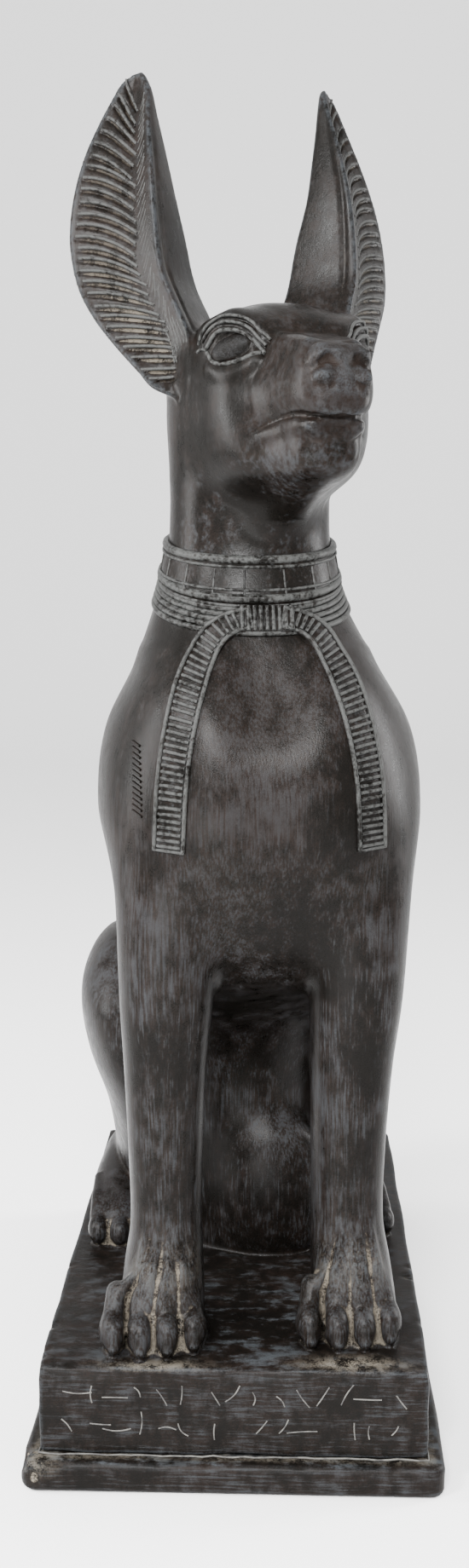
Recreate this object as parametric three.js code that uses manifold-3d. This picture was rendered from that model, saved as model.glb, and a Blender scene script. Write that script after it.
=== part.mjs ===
// A seated jackal on a low plinth, cast in one with the upper block and set on a base slab.
// Millimetres, +Z up. The origin is the middle of the slab's underside, and the figure faces -Y.
import * as THREE from 'three';
import { mergeVertices } from 'three/addons/utils/BufferGeometryUtils.js';
import Module from 'manifold-3d';

const wasm = await Module();
wasm.setup();

// Plinth sizes.
const blockWidth = 230;
const blockDepth = 386;
const blockHeight = 55;
const blockEdge = 1.5;
const ledge = 10;
const slabHeight = 19;
const slabCorner = 9;
const slabEdge = 3;
const jointGap = 0.3;

// Figure sizes: its height over the block, and where it sits on the block.
const figureHeight = 757;
const figureTurn = 6.2;
const figureTurnCentre = -12;

// The head's turn to its left and its lift, in degrees.
const headTurn = 14.4;
const headLift = 7.8;

// Inscription: rows of plain strokes in the block's front face.
const strokeRows = 2;
const strokesInRow = 11;
const strokeWidth = 1.6;
const strokeDepth = 1.2;
const inscriptionMargin = 22;
const inscriptionRise = 6;

// Kinds of stroke: [length as a share of the row's height, lean in degrees].
const strokeKinds = [
  [0.7, 0],
  [0.5, 32],
  [0.6, -32],
  [0.35, 90],
];

// Pose and carving of the figure are written in hundredths of its height.
const unit = figureHeight / 100;
const rootHeight = slabHeight + jointGap + blockHeight;

// Sections along each form and sides round it.
const torsoSteps = 18;
const torsoSides = 20;
const limbSteps = 9;
const limbSides = 12;
const footSteps = 5;
const footSides = 10;
const toeSteps = 4;
const toeSides = 6;
const skullSteps = 9;
const skullSides = 16;
const muzzleSteps = 6;
const muzzleSides = 12;
const earSteps = 10;
const tailSides = 7;
const eyeCorners = 10;
const browSteps = 5;
const browRollSides = 6;

// Squareness of level sections: 2 is an ellipse.
const torsoSquareness = 2.2;
const limbSquareness = 2.2;
const headSquareness = 2.6;

// Body and neck: [height, middle sideways, front, back, half-width].
const torsoRows = [
  [-0.5, 0.0, -4.4, 21.8, 7.6],
  [7.9, 0.0, -5.0, 22.5, 8.6],
  [15.9, 0.0, -4.8, 21.1, 9.8],
  [21.8, 0.1, -7.2, 19.6, 10.7],
  [25.0, 0.3, -11.6, 18.2, 11.1],
  [27.6, 0.5, -16.2, 17.0, 11.1],
  [30.6, 0.7, -19.0, 15.2, 11.2],
  [34.0, 0.8, -20.6, 13.0, 11.5],
  [37.5, 0.7, -21.8, 10.6, 12.5],
  [41.9, 0.6, -22.5, 7.7, 13.2],
  [48.6, 0.6, -21.2, 2.8, 12.2],
  [53.3, 0.4, -19.6, 0.4, 9.9],
  [58.8, -0.1, -17.1, -2.3, 7.5],
  [62.6, -0.1, -16.1, -3.4, 6.6],
  [66.1, -0.1, -16.1, -4.0, 6.4],
  [70.0, 0.0, -16.1, -4.2, 6.5],
  [74.0, 0.3, -15.5, -4.0, 5.9],
];

// Foreleg: [height, middle, distance from it, forward, half-width, half-depth].
const forelegRows = [
  [-0.5, 0.0, 7.8, -18.6, 3.6, 4.8],
  [2.0, 0.0, 7.8, -18.2, 3.5, 4.6],
  [5.3, 0.0, 7.6, -17.4, 3.2, 3.9],
  [8.6, 0.0, 7.4, -16.9, 2.9, 3.3],
  [14.5, 0.0, 7.4, -16.9, 3.0, 3.3],
  [21.5, 0.1, 7.5, -17.0, 3.3, 3.5],
  [27.0, 0.3, 7.6, -17.0, 3.7, 4.0],
  [34.3, 0.5, 7.6, -16.0, 4.1, 4.9],
  [42.3, 0.7, 7.9, -12.8, 4.1, 5.6],
  [48.0, 0.6, 7.6, -10.6, 3.6, 5.4],
  [53.0, 0.4, 5.8, -9.6, 2.0, 3.4],
];

// Thigh: [height, sideways, forward, half-width, half-depth].
const thighRows = [
  [-0.5, 8.4, 10.8, 2.6, 7.4],
  [6.6, 8.5, 9.5, 3.0, 8.7],
  [11.9, 8.8, 7.3, 3.5, 10.0],
  [17.2, 9.4, 5.3, 4.5, 10.3],
  [21.8, 9.5, 4.2, 5.0, 9.4],
  [25.1, 9.3, 4.6, 4.5, 7.4],
  [27.6, 9.0, 5.4, 3.0, 4.4],
  [28.4, 8.8, 5.6, 1.1, 1.6],
];
const thighLean = 0.1;
const thighLeanFrom = 17;

// Hind foot along its length: [forward, sideways, height, half-width, half-height].
const hindFootRows = [
  [-2.6, 11.2, 0.9, 1.0, 1.0],
  [-1.5, 11.2, 1.3, 2.2, 1.9],
  [2.0, 11.1, 1.7, 2.7, 2.6],
  [6.0, 10.9, 2.0, 2.7, 2.9],
  [10.5, 10.3, 2.2, 2.6, 3.1],
  [14.5, 9.8, 2.3, 2.2, 2.9],
  [16.0, 9.6, 2.2, 1.0, 1.4],
];

// Toe from its tip back: [distance, height, half-width, half-height].
const toeRows = [
  [0.0, 1.1, 0.4, 0.6],
  [0.5, 1.4, 1.0, 1.5],
  [1.7, 1.9, 1.25, 2.0],
  [3.2, 3.0, 1.15, 1.9],
  [5.0, 4.6, 0.8, 1.5],
];
const frontToes = [-3.1, -1.05, 1.05, 3.1];
const frontToeTip = -23.8;
const frontToeShift = -0.85;
const hindToes = [-1.8, 0, 1.8];
const hindToeTip = -3.6;
const hindToeRise = 0.62;
const toeStep = 0.28;

// Tail from the rump to the block and round behind the figure's left thigh: [x, y, z, radius].
const tailRows = [
  [0, 19.5, 9.5, 1.2],
  [0, 22.4, 5.6, 1.5],
  [1.2, 23.4, 2.4, 1.6],
  [4.2, 23.2, 1.2, 1.6],
  [8.0, 22.0, 1.1, 1.5],
  [11.4, 19.6, 1.0, 1.3],
  [13.2, 16.6, 0.8, 0.7],
];

// Skull, muzzle and jaw in the head's own frame: [forward, height, half-width, half-height].
const skullRows = [
  [-8.2, -0.4, 1.0, 1.2],
  [-7.4, -0.5, 3.9, 3.6],
  [-5.3, -0.7, 6.2, 5.4],
  [-2.6, -1.0, 7.1, 6.2],
  [0.0, -1.4, 7.2, 6.7],
  [3.3, -1.6, 6.8, 6.6],
  [5.5, -1.3, 6.3, 5.9],
  [7.4, -1.2, 5.3, 5.0],
  [8.8, -1.4, 3.7, 3.7],
  [9.3, -1.6, 1.6, 2.0],
];
const muzzleRows = [
  [3.0, -2.2, 4.7, 4.6],
  [7.0, -2.2, 4.5, 4.0],
  [9.0, -2.3, 3.7, 3.5],
  [10.6, -2.6, 3.2, 3.3],
  [12.6, -3.0, 2.9, 3.2],
  [14.0, -3.4, 2.8, 3.0],
  [14.9, -3.6, 2.6, 2.6],
  [15.7, -3.7, 1.9, 2.0],
];
const jawRows = [
  [-1.6, -4.6, 3.8, 2.6],
  [0.0, -4.8, 5.3, 3.6],
  [3.0, -5.2, 5.3, 3.9],
  [6.5, -5.6, 4.7, 3.8],
  [9.5, -6.0, 3.8, 3.8],
  [12.0, -6.4, 3.0, 3.5],
  [13.6, -6.5, 2.5, 2.9],
  [14.7, -6.5, 1.8, 2.0],
];

// Roll of the brow over the eye, from its outer end to the bridge: [sideways, y, height, radius].
const browRollRows = [
  [5.6, -4.4, 2.2, 1.1],
  [4.7, -6.4, 2.3, 1.25],
  [3.0, -8.2, 1.4, 0.95],
];
const headPlace = new THREE.Vector3(1.0, -11.2, 75.7);

// Nose pad and nostrils: middles and half-sizes in the head's own frame.
const nosePlace = new THREE.Vector3(0, -14.9, -2.5);
const noseSize = new THREE.Vector3(2.5, 1.3, 1.5);
const nostrilPlace = new THREE.Vector3(1.35, -16.0, -2.3);
const nostrilSize = new THREE.Vector3(0.55, 0.7, 0.42);

// Ear: [height, sideways, forward] of its front edge, then the widths of the plume and smooth faces.
const earRows = [
  [-1.6, 6.6, 1.6, 1.6, 2.4],
  [-0.7, 6.8, 2.0, 3.5, 5.0],
  [0.7, 6.7, 1.7, 4.7, 5.8],
  [3.3, 6.7, 1.3, 6.8, 6.6],
  [5.9, 7.4, 0.5, 7.7, 6.6],
  [8.6, 8.2, 0.0, 8.0, 6.2],
  [12.3, 8.4, -0.35, 8.2, 5.3],
  [15.9, 8.3, -0.85, 7.6, 3.8],
  [19.2, 8.1, -1.7, 6.3, 2.6],
  [21.8, 7.9, -2.5, 4.7, 1.6],
  [23.8, 7.75, -3.1, 3.2, 0.9],
  [24.6, 7.8, -3.5, 2.2, 0.6],
  [25.0, 7.9, -3.8, 1.1, 0.3],
];
const plumeAngle = THREE.MathUtils.degToRad(48.5);
const smoothAngle = THREE.MathUtils.degToRad(46.5);
const plumeScoop = 0.55;
const smoothGroove = 0.35;
const earBack = 1.5;
const fullEarWidth = 4;

// Plume strokes on the ear: their heights, their fall from the rim to the midrib and their ends.
const plumeStrokes = 9;
const plumeFoot = 4.2;
const plumeTop = 22.8;
const plumeFallLow = 0.4;
const plumeFallHigh = 3.6;
const plumeRim = 0.9;
const plumeMidrib = 0.36;
const plumeHalfWidth = 0.32;
const plumeRise = 0.3;
const plumeSag = 0.35;
const chevronEdge = 0.08;
const chevronEnd = 0.3;
const chevronRise = 0.4;
const chevronFall = 1.2;
const carvingSink = 0.35;

// Eye in the head's own frame: its middle, its turn from the front and its carving.
const eyePlace = new THREE.Vector3(5.1, -7.35, 0.5);
const eyeTurn = 52;
const eyeLength = 4.7;
const eyeOpening = 2.3;
const eyeSlant = 0.2;
const eyeDepth = 0.75;
const lidWidth = 0.5;
const lidRise = 0.3;
const lidReach = 1.5;
const browWidth = 0.55;
const browReach = 3.3;
const browHeight = 2.4;
const browSetBack = 0.15;

// Collar from its top rim down to its lower rim: [height over its foot at the front, proud].
const collarProfile = [
  [4.2, -0.5],
  [4.1, 0.5],
  [3.6, 0.5],
  [3.5, 0.3],
  [1.8, 0.3],
  [1.7, 0.6],
  [0.8, 0.6],
  [0.3, -0.5],
];
const collarFoot = 57.6;
const collarTilt = 0.22;
const collarSides = 16;

// Strands under the collar.
const strandTop = 57.9;
const strandCount = 3;
const strandPitch = 1.0;
const strandProud = 0.45;
const strandHollow = 0.18;
const strandTilt = 0.42;

// Chest ribbon: half of its centre line from the knot down, as [sideways, height].
const ribbonPoints = [
  [1.2, 57.2],
  [2.3, 56.95],
  [3.5, 56.3],
  [4.8, 54.8],
  [5.9, 52.4],
  [6.8, 49.1],
  [7.4, 45.3],
  [7.7, 40.0],
];
const ribbonCentre = 0.55;
const ribbonHalfWidth = 1.05;
const ribbonProud = 0.32;
const ribbonHollow = 0.18;
const ribbonSteps = 10;
const ribCount = 10;
const ribHalfPitch = 0.28;
const ribReach = 0.84;

// Knot where the two ribbons meet.
const knotTop = 58.3;
const knotFoot = 56.0;
const knotHalfWidth = 1.95;
const knotProud = 0.36;
const knotRibs = 6;
const knotRibPitch = 0.56;
const knotRibHalfWidth = 0.2;
const knotRibProud = 0.55;

// Smooth rows between the chosen ones, closer together towards both ends.
function smoothRows(rows, steps) {
  const keys = rows.map((row) => row[0]);
  const values = rows.flatMap((row) => row.slice(1));
  const curve = new THREE.CubicInterpolant(keys, values, rows[0].length - 1);
  const result = [];
  for (let i = 0; i <= steps; i++) {
    const share = (1 - Math.cos((Math.PI * i) / steps)) / 2;
    const key = THREE.MathUtils.lerp(keys[0], keys[keys.length - 1], share);
    result.push([key, ...curve.evaluate(key)]);
  }
  return result;
}

// One row at a chosen key.
function rowAt(rows, key) {
  const keys = rows.map((row) => row[0]);
  const values = rows.flatMap((row) => row.slice(1));
  const curve = new THREE.CubicInterpolant(keys, values, rows[0].length - 1);
  return [...curve.evaluate(THREE.MathUtils.clamp(key, keys[0], keys[keys.length - 1]))];
}

// Point of a rounded section at an angle: squareness 2 is an ellipse.
function sectionPoint(angle, squareness) {
  const power = 2 / squareness;
  const c = Math.cos(angle);
  const s = Math.sin(angle);
  return [Math.sign(c) * Math.abs(c) ** power, Math.sign(s) * Math.abs(s) ** power];
}

// Ring of points round a centre, on two half-axes.
function ring(centre, across, along, sides, squareness = 2) {
  const points = [];
  for (let i = 0; i < sides; i++) {
    const [c, s] = sectionPoint((2 * Math.PI * i) / sides, squareness);
    points.push(centre.clone().addScaledVector(across, c).addScaledVector(along, s));
  }
  return points;
}

// Closed skin over a row of rings: capped at both ends, or joined end to end.
function loft(rings, joined = false) {
  const sides = rings[0].length;
  const points = rings.flat();
  const faces = [];
  const spans = joined ? rings.length : rings.length - 1;
  for (let r = 0; r < spans; r++) {
    for (let i = 0; i < sides; i++) {
      const a = r * sides + i;
      const b = r * sides + ((i + 1) % sides);
      const next = ((r + 1) % rings.length) * sides;
      const c = next + ((i + 1) % sides);
      const d = next + i;
      faces.push([a, b, c], [a, c, d]);
    }
  }
  if (!joined) {
    const last = (rings.length - 1) * sides;
    for (let i = 1; i < sides - 1; i++) {
      faces.push([0, i + 1, i], [last, last + i, last + i + 1]);
    }
  }
  const geometry = new THREE.BufferGeometry().setFromPoints(points);
  geometry.setIndex(faces.flat());
  return geometry;
}

// Turns a shape's faces outwards if they point in.
function facingOut(geometry) {
  const position = geometry.getAttribute('position');
  const index = geometry.getIndex();
  const a = new THREE.Vector3();
  const b = new THREE.Vector3();
  const c = new THREE.Vector3();
  let volume = 0;
  for (let i = 0; i < index.count; i += 3) {
    a.fromBufferAttribute(position, index.getX(i));
    b.fromBufferAttribute(position, index.getX(i + 1));
    c.fromBufferAttribute(position, index.getX(i + 2));
    volume += a.dot(b.cross(c));
  }
  if (volume < 0) {
    index.array.reverse();
  }
  return geometry;
}

// Solid for joining and cutting from a closed shape.
function solid(geometry) {
  geometry.deleteAttribute('normal');
  geometry.deleteAttribute('uv');
  const merged = facingOut(mergeVertices(geometry));
  return new wasm.Manifold(new wasm.Mesh({
    numProp: 3,
    vertProperties: new Float32Array(merged.getAttribute('position').array),
    triVerts: new Uint32Array(merged.getIndex().array),
  }));
}

function join(solids) {
  return solids.reduce((whole, next) => whole.add(next));
}

// Shape for display from a finished solid.
function shape(body) {
  const mesh = body.getMesh();
  const geometry = new THREE.BufferGeometry();
  geometry.setAttribute('position', new THREE.BufferAttribute(mesh.vertProperties, 3));
  geometry.setIndex(new THREE.BufferAttribute(mesh.triVerts, 1));
  geometry.computeVertexNormals();
  return geometry;
}

// Round bar along points, with one radius at each.
function bar(points, radii, sides, joined = false) {
  const curve = new THREE.CatmullRomCurve3(points, joined);
  const steps = points.length - (joined ? 0 : 1);
  const frames = curve.computeFrenetFrames(steps, joined);
  const rings = points.map((point, i) => {
    const across = frames.normals[i].clone().multiplyScalar(radii[i]);
    const along = frames.binormals[i].clone().multiplyScalar(radii[i]);
    return ring(point, across, along, sides);
  });
  return loft(rings, joined);
}

// Place of the figure's own frame on the block, in millimetres.
function figurePlace() {
  const turn = new THREE.Matrix4().makeRotationZ(THREE.MathUtils.degToRad(figureTurn));
  const place = new THREE.Matrix4().makeTranslation(0, figureTurnCentre, rootHeight);
  const back = new THREE.Matrix4().makeTranslation(0, -figureTurnCentre, 0);
  const scale = new THREE.Matrix4().makeScale(unit, unit, unit);
  return place.multiply(turn).multiply(back).multiply(scale);
}

// Place of the head's own frame in the figure's.
function headFrame() {
  const lift = new THREE.Matrix4().makeRotationX(-THREE.MathUtils.degToRad(headLift));
  const turn = new THREE.Matrix4().makeRotationZ(THREE.MathUtils.degToRad(headTurn));
  return new THREE.Matrix4().setPosition(headPlace).multiply(turn).multiply(lift);
}

// Point on the body's surface at a section angle, from the front (0) round to the sides.
function bodyPoint(angle, height, proud) {
  const [middle, front, back, halfWidth] = rowAt(torsoRows, height);
  const [s, c] = sectionPoint(Math.PI / 2 - angle, torsoSquareness).reverse();
  const halfDepth = (back - front) / 2;
  const x = middle + (halfWidth + proud) * c;
  const y = (front + back) / 2 - (halfDepth + proud) * s;
  return new THREE.Vector3(x, y, height);
}

// Point on the body's front at a sideways place.
function chestPoint(x, height, proud) {
  const [middle, front, back, halfWidth] = rowAt(torsoRows, height);
  const share = Math.min(Math.abs(x - middle) / (halfWidth + proud), 0.999);
  const halfDepth = (back - front) / 2 + proud;
  const y = (front + back) / 2 - halfDepth * (1 - share ** torsoSquareness) ** (1 / torsoSquareness);
  return new THREE.Vector3(x, y, height);
}

function torso() {
  const rows = torsoRows.map(([height, middle, front, back, halfWidth]) => (
    [height, middle, (front + back) / 2, halfWidth, (back - front) / 2]
  ));
  return uprightForm(rows, torsoSteps, torsoSides, torsoSquareness);
}

// Upright form from rows of level sections.
function uprightForm(rows, steps, sides, squareness) {
  const rings = smoothRows(rows, steps).map(([height, x, y, halfWidth, halfDepth]) => ring(
    new THREE.Vector3(x, y, height),
    new THREE.Vector3(halfWidth, 0, 0),
    new THREE.Vector3(0, halfDepth, 0),
    sides,
    squareness,
  ));
  return loft(rings);
}

// Form that lies along Y, from rows of upright sections.
function lyingForm(rows, steps, sides, squareness) {
  const rings = smoothRows(rows, steps).map(([y, x, height, halfWidth, halfHeight]) => ring(
    new THREE.Vector3(x, y, height),
    new THREE.Vector3(halfWidth, 0, 0),
    new THREE.Vector3(0, 0, halfHeight),
    sides,
    squareness,
  ));
  return loft(rings);
}

// Toes of one foot, each set back the further out it is.
function toes(offsets, x, tip, rise) {
  return offsets.map((offset) => {
    const start = tip + toeStep * Math.abs(offset);
    const rows = toeRows.map(([distance, height, halfWidth, halfHeight]) => (
      [start + distance, x + offset, rise * height, halfWidth, rise * halfHeight]
    ));
    return lyingForm(rows, toeSteps, toeSides, 2);
  });
}

function foreleg(side) {
  const rows = forelegRows.map(([height, middle, apart, ...rest]) => (
    [height, middle + side * apart, ...rest]
  ));
  return uprightForm(rows, limbSteps, limbSides, limbSquareness);
}

// Thigh; the one on the figure's left leans a little inwards at its top.
function thigh(side) {
  const rows = thighRows.map(([height, x, ...rest]) => (
    [height, side * x + (side > 0 ? thighLean * (thighLeanFrom - height) : 0), ...rest]
  ));
  return uprightForm(rows, limbSteps, limbSides, limbSquareness);
}

function hindFoot(side) {
  const rows = hindFootRows.map(([y, x, ...rest]) => [y, side * x, ...rest]);
  const foot = lyingForm(rows, footSteps, footSides, limbSquareness);
  return [foot, ...toes(hindToes, side * hindFootRows[0][1], hindToeTip, hindToeRise)];
}

function frontPaw(side) {
  return toes(frontToes, side * forelegRows[0][2] + frontToeShift, frontToeTip, 1);
}

function tail() {
  const points = tailRows.map(([x, y, z]) => new THREE.Vector3(x, y, z));
  return bar(points, tailRows.map((row) => row[3]), tailSides);
}

// Form of the head along its own forward axis.
function headForm(rows, steps, sides) {
  const lying = rows.map(([forward, height, halfWidth, halfHeight]) => (
    [forward, 0, height, halfWidth, halfHeight]
  ));
  return lyingForm(lying, steps, sides, headSquareness).scale(1, -1, 1);
}

// Point on an ear's plume face: share 0 is the front edge, 1 the outer edge.
function plumePoint(height, share, proud, side) {
  const [s, forward, plume] = rowAt(earRows, height);
  const reach = plume * share;
  const scoop = plumeScoop * Math.min(plume / fullEarWidth, 1) * Math.sin(Math.PI * share);
  const inward = scoop - proud;
  const x = s + reach * Math.cos(plumeAngle) - inward * Math.sin(plumeAngle);
  const y = -forward + reach * Math.sin(plumeAngle) + inward * Math.cos(plumeAngle);
  return new THREE.Vector3(side * x, y, height);
}

// Level section of an ear: hollow plume face, rounded back and grooved smooth face.
function earRing([height, s, forward, plume, smooth], side) {
  const edge = new THREE.Vector2(s, -forward);
  const plumeWay = new THREE.Vector2(Math.cos(plumeAngle), Math.sin(plumeAngle));
  const smoothWay = new THREE.Vector2(-Math.cos(smoothAngle), Math.sin(smoothAngle));
  const outer = edge.clone().addScaledVector(plumeWay, plume);
  const inner = edge.clone().addScaledVector(smoothWay, smooth);
  const points = [0, 0.35, 0.7].map((share) => {
    const point = plumePoint(height, share, 0, 1);
    return new THREE.Vector2(point.x, point.y);
  });
  points.push(outer);
  for (const share of [0.25, 0.6]) {
    const bulge = earBack * Math.min(plume / fullEarWidth, 1) * Math.sin(Math.PI * share);
    points.push(outer.clone().lerp(inner, share).add(new THREE.Vector2(0, bulge)));
  }
  points.push(inner);
  const groove = smoothGroove * Math.min(smooth / fullEarWidth, 1);
  points.push(edge.clone().lerp(inner, 0.5).add(new THREE.Vector2(0, groove)));
  return points.map((point) => new THREE.Vector3(side * point.x, point.y, height));
}

// Raised plume stroke between two places on the ear's face, sagging a little between them.
function plumeStroke(from, to, steps, side) {
  const rings = [];
  for (let i = 0; i <= steps; i++) {
    const share = i / steps;
    const height = THREE.MathUtils.lerp(from[0], to[0], share) - plumeSag * Math.sin(Math.PI * share);
    const place = THREE.MathUtils.lerp(from[1], to[1], share);
    rings.push([
      plumePoint(height - plumeHalfWidth, place, -carvingSink, side),
      plumePoint(height, place, plumeRise, side),
      plumePoint(height + plumeHalfWidth, place, -carvingSink, side),
    ]);
  }
  return loft(rings);
}

function ear(side) {
  const parts = [loft(smoothRows(earRows, earSteps).map((row) => earRing(row, side)))];
  for (let i = 0; i < plumeStrokes; i++) {
    const share = i / (plumeStrokes - 1);
    const height = THREE.MathUtils.lerp(plumeFoot, plumeTop, share);
    const fall = THREE.MathUtils.lerp(plumeFallLow, plumeFallHigh, Math.sqrt(share));
    parts.push(plumeStroke([height, plumeRim], [height - fall, plumeMidrib], 2, side));
    if (i % 2 === 0) {
      const from = [height + chevronRise, chevronEdge];
      parts.push(plumeStroke(from, [height - chevronFall, chevronEnd], 1, side));
    }
  }
  return parts;
}

// Place of the eye on the side of the face.
function eyeFrame(side) {
  const turn = new THREE.Matrix4().makeRotationZ(side * THREE.MathUtils.degToRad(eyeTurn));
  const place = new THREE.Matrix4().makeTranslation(side * eyePlace.x, eyePlace.y, eyePlace.z);
  return place.multiply(turn);
}

// Roll of the brow over one eye.
function browRoll(side) {
  const points = browRollRows.map(([x, y, z]) => new THREE.Vector3(side * x, y, z));
  return bar(points, browRollRows.map((row) => row[3]), browRollSides);
}

// Carved ridge along points on the face: a wedge that stands proud of it and reaches into it.
function ridge(points, width, joined) {
  const rings = points.map((point, i) => {
    const before = points[joined ? (i + points.length - 1) % points.length : Math.max(i - 1, 0)];
    const after = points[joined ? (i + 1) % points.length : Math.min(i + 1, points.length - 1)];
    const way = after.clone().sub(before).normalize();
    const across = new THREE.Vector3(way.z, 0, -way.x).multiplyScalar(width / 2);
    return [
      point.clone().add(across).setY(point.y + lidReach),
      point.clone().setY(point.y - lidRise),
      point.clone().sub(across).setY(point.y + lidReach),
    ];
  });
  return loft(rings, joined);
}

// Eye with its lid rim, its brow and a low ball.
function eye(side) {
  const lid = [];
  for (let i = 0; i < eyeCorners; i++) {
    const angle = (2 * Math.PI * i) / eyeCorners;
    const x = (Math.cos(angle) * eyeLength) / 2;
    const z = (Math.sin(angle) * Math.abs(Math.sin(angle)) ** 0.3 * eyeOpening) / 2;
    lid.push(new THREE.Vector3(side * x, 0, z + eyeSlant * x));
  }
  const brow = [];
  for (let i = 0; i <= browSteps; i++) {
    const angle = THREE.MathUtils.lerp(0.94, 0.12, i / browSteps) * Math.PI;
    const x = -browReach * Math.cos(angle);
    const back = browSetBack * (1 + Math.sin(angle));
    brow.push(new THREE.Vector3(side * x, back, browHeight * Math.sin(angle) + eyeSlant * x));
  }
  const ball = new THREE.SphereGeometry(1, 8, 5).scale(eyeLength * 0.42, eyeDepth, eyeOpening * 0.5);
  const frame = eyeFrame(side);
  const parts = [ridge(lid, lidWidth, true), ridge(brow, browWidth, false), ball];
  return parts.map((part) => part.applyMatrix4(frame));
}

function nose() {
  const pad = new THREE.SphereGeometry(1, 10, 6).scale(...noseSize.toArray());
  return pad.translate(...nosePlace.toArray());
}

function nostrils() {
  return [-1, 1].map((side) => {
    const hole = new THREE.SphereGeometry(1, 6, 4).scale(...nostrilSize.toArray());
    return hole.translate(side * nostrilPlace.x, nostrilPlace.y, nostrilPlace.z);
  });
}

// Ring round the body that drops towards the front.
function tiltedRing(frontHeight, tilt, proud) {
  const [, front] = rowAt(torsoRows, frontHeight);
  const points = [];
  for (let i = 0; i < collarSides; i++) {
    const angle = (2 * Math.PI * i) / collarSides;
    const level = bodyPoint(angle, frontHeight, proud);
    const height = frontHeight + tilt * (level.y - front);
    points.push(bodyPoint(angle, height, proud));
  }
  return points;
}

function collar() {
  return loft(collarProfile.map(([rise, proud]) => tiltedRing(collarFoot + rise, collarTilt, proud)));
}

// Fine strands that sweep down to the chest.
function strands() {
  const rings = [tiltedRing(strandTop, strandTilt, -carvingSink)];
  for (let i = 1; i < strandCount * 2; i++) {
    const proud = i % 2 ? strandProud : strandHollow;
    rings.push(tiltedRing(strandTop - (i * strandPitch) / 2, strandTilt, proud));
  }
  rings.push(tiltedRing(strandTop - strandCount * strandPitch, strandTilt, -carvingSink));
  return loft(rings);
}

const ribbonLine = new THREE.SplineCurve(ribbonPoints.map((point) => new THREE.Vector2(...point)));

// Place on the ribbon: share along it, offset across it.
function ribbonPoint(side, share, across, proud) {
  const middle = ribbonLine.getPointAt(share);
  const way = ribbonLine.getTangentAt(share);
  const x = side * (middle.x - across * way.y) + ribbonCentre;
  return chestPoint(x, middle.y + across * way.x, proud);
}

function ribbonRib(side, share) {
  const half = ribHalfPitch / ribCount;
  const reach = ribbonHalfWidth * ribReach;
  return loft([share - half, share + half].map((place) => [
    ribbonPoint(side, place, -reach, 0),
    ribbonPoint(side, place, -reach, ribbonProud),
    ribbonPoint(side, place, reach, ribbonProud),
    ribbonPoint(side, place, reach, 0),
  ]));
}

// Ribbon with raised borders, a hollow between them and cross ribs.
function ribbon(side) {
  const rings = [];
  for (let i = 0; i <= ribbonSteps; i++) {
    const share = i / ribbonSteps;
    rings.push([
      ribbonPoint(side, share, -ribbonHalfWidth, -carvingSink),
      ribbonPoint(side, share, -ribbonHalfWidth, ribbonProud),
      ribbonPoint(side, share, 0, ribbonHollow),
      ribbonPoint(side, share, ribbonHalfWidth, ribbonProud),
      ribbonPoint(side, share, ribbonHalfWidth, -carvingSink),
    ]);
  }
  const parts = [loft(rings)];
  for (let i = 0; i < ribCount; i++) {
    parts.push(ribbonRib(side, (i + 0.5) / ribCount));
  }
  return parts;
}

// Upright bar on the chest.
function knotBar(x, halfWidth, proud) {
  return loft([knotTop, knotFoot].map((height) => [
    chestPoint(x - halfWidth, height, -carvingSink),
    chestPoint(x - halfWidth, height, proud),
    chestPoint(x + halfWidth, height, proud),
    chestPoint(x + halfWidth, height, -carvingSink),
  ]));
}

function knot() {
  const parts = [knotBar(ribbonCentre, knotHalfWidth, knotProud)];
  for (let i = 0; i < knotRibs; i++) {
    const x = ribbonCentre + (i - (knotRibs - 1) / 2) * knotRibPitch;
    parts.push(knotBar(x, knotRibHalfWidth, knotRibProud));
  }
  return parts;
}

// Upper block, with its edges just broken.
function block() {
  const outline = new THREE.Shape();
  const halfWidth = blockWidth / 2 - blockEdge;
  const halfDepth = blockDepth / 2 - blockEdge;
  outline.moveTo(-halfWidth, -halfDepth);
  outline.lineTo(halfWidth, -halfDepth);
  outline.lineTo(halfWidth, halfDepth);
  outline.lineTo(-halfWidth, halfDepth);
  const form = new THREE.ExtrudeGeometry(outline, {
    depth: blockHeight - 2 * blockEdge,
    bevelThickness: blockEdge,
    bevelSize: blockEdge,
    bevelSegments: 1,
  });
  return form.translate(0, 0, slabHeight + jointGap + blockEdge);
}

// Strokes cut in the block's front face: short marks in rows that spell nothing.
function inscription() {
  const cutters = [];
  const rowHeight = (blockHeight - 2 * inscriptionRise) / strokeRows;
  const pitch = (blockWidth - 2 * inscriptionMargin) / (strokesInRow - 1);
  for (let row = 0; row < strokeRows; row++) {
    for (let i = 0; i < strokesInRow; i++) {
      const [length, lean] = strokeKinds[(i * 5 + row * 3) % strokeKinds.length];
      const cutter = new THREE.BoxGeometry(strokeWidth, strokeDepth * 2, length * rowHeight);
      cutter.rotateY(THREE.MathUtils.degToRad(lean));
      const x = -blockWidth / 2 + inscriptionMargin + i * pitch;
      const z = slabHeight + jointGap + inscriptionRise + rowHeight * (row + 0.5);
      cutters.push(cutter.translate(x, -blockDepth / 2, z));
    }
  }
  return cutters;
}

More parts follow.
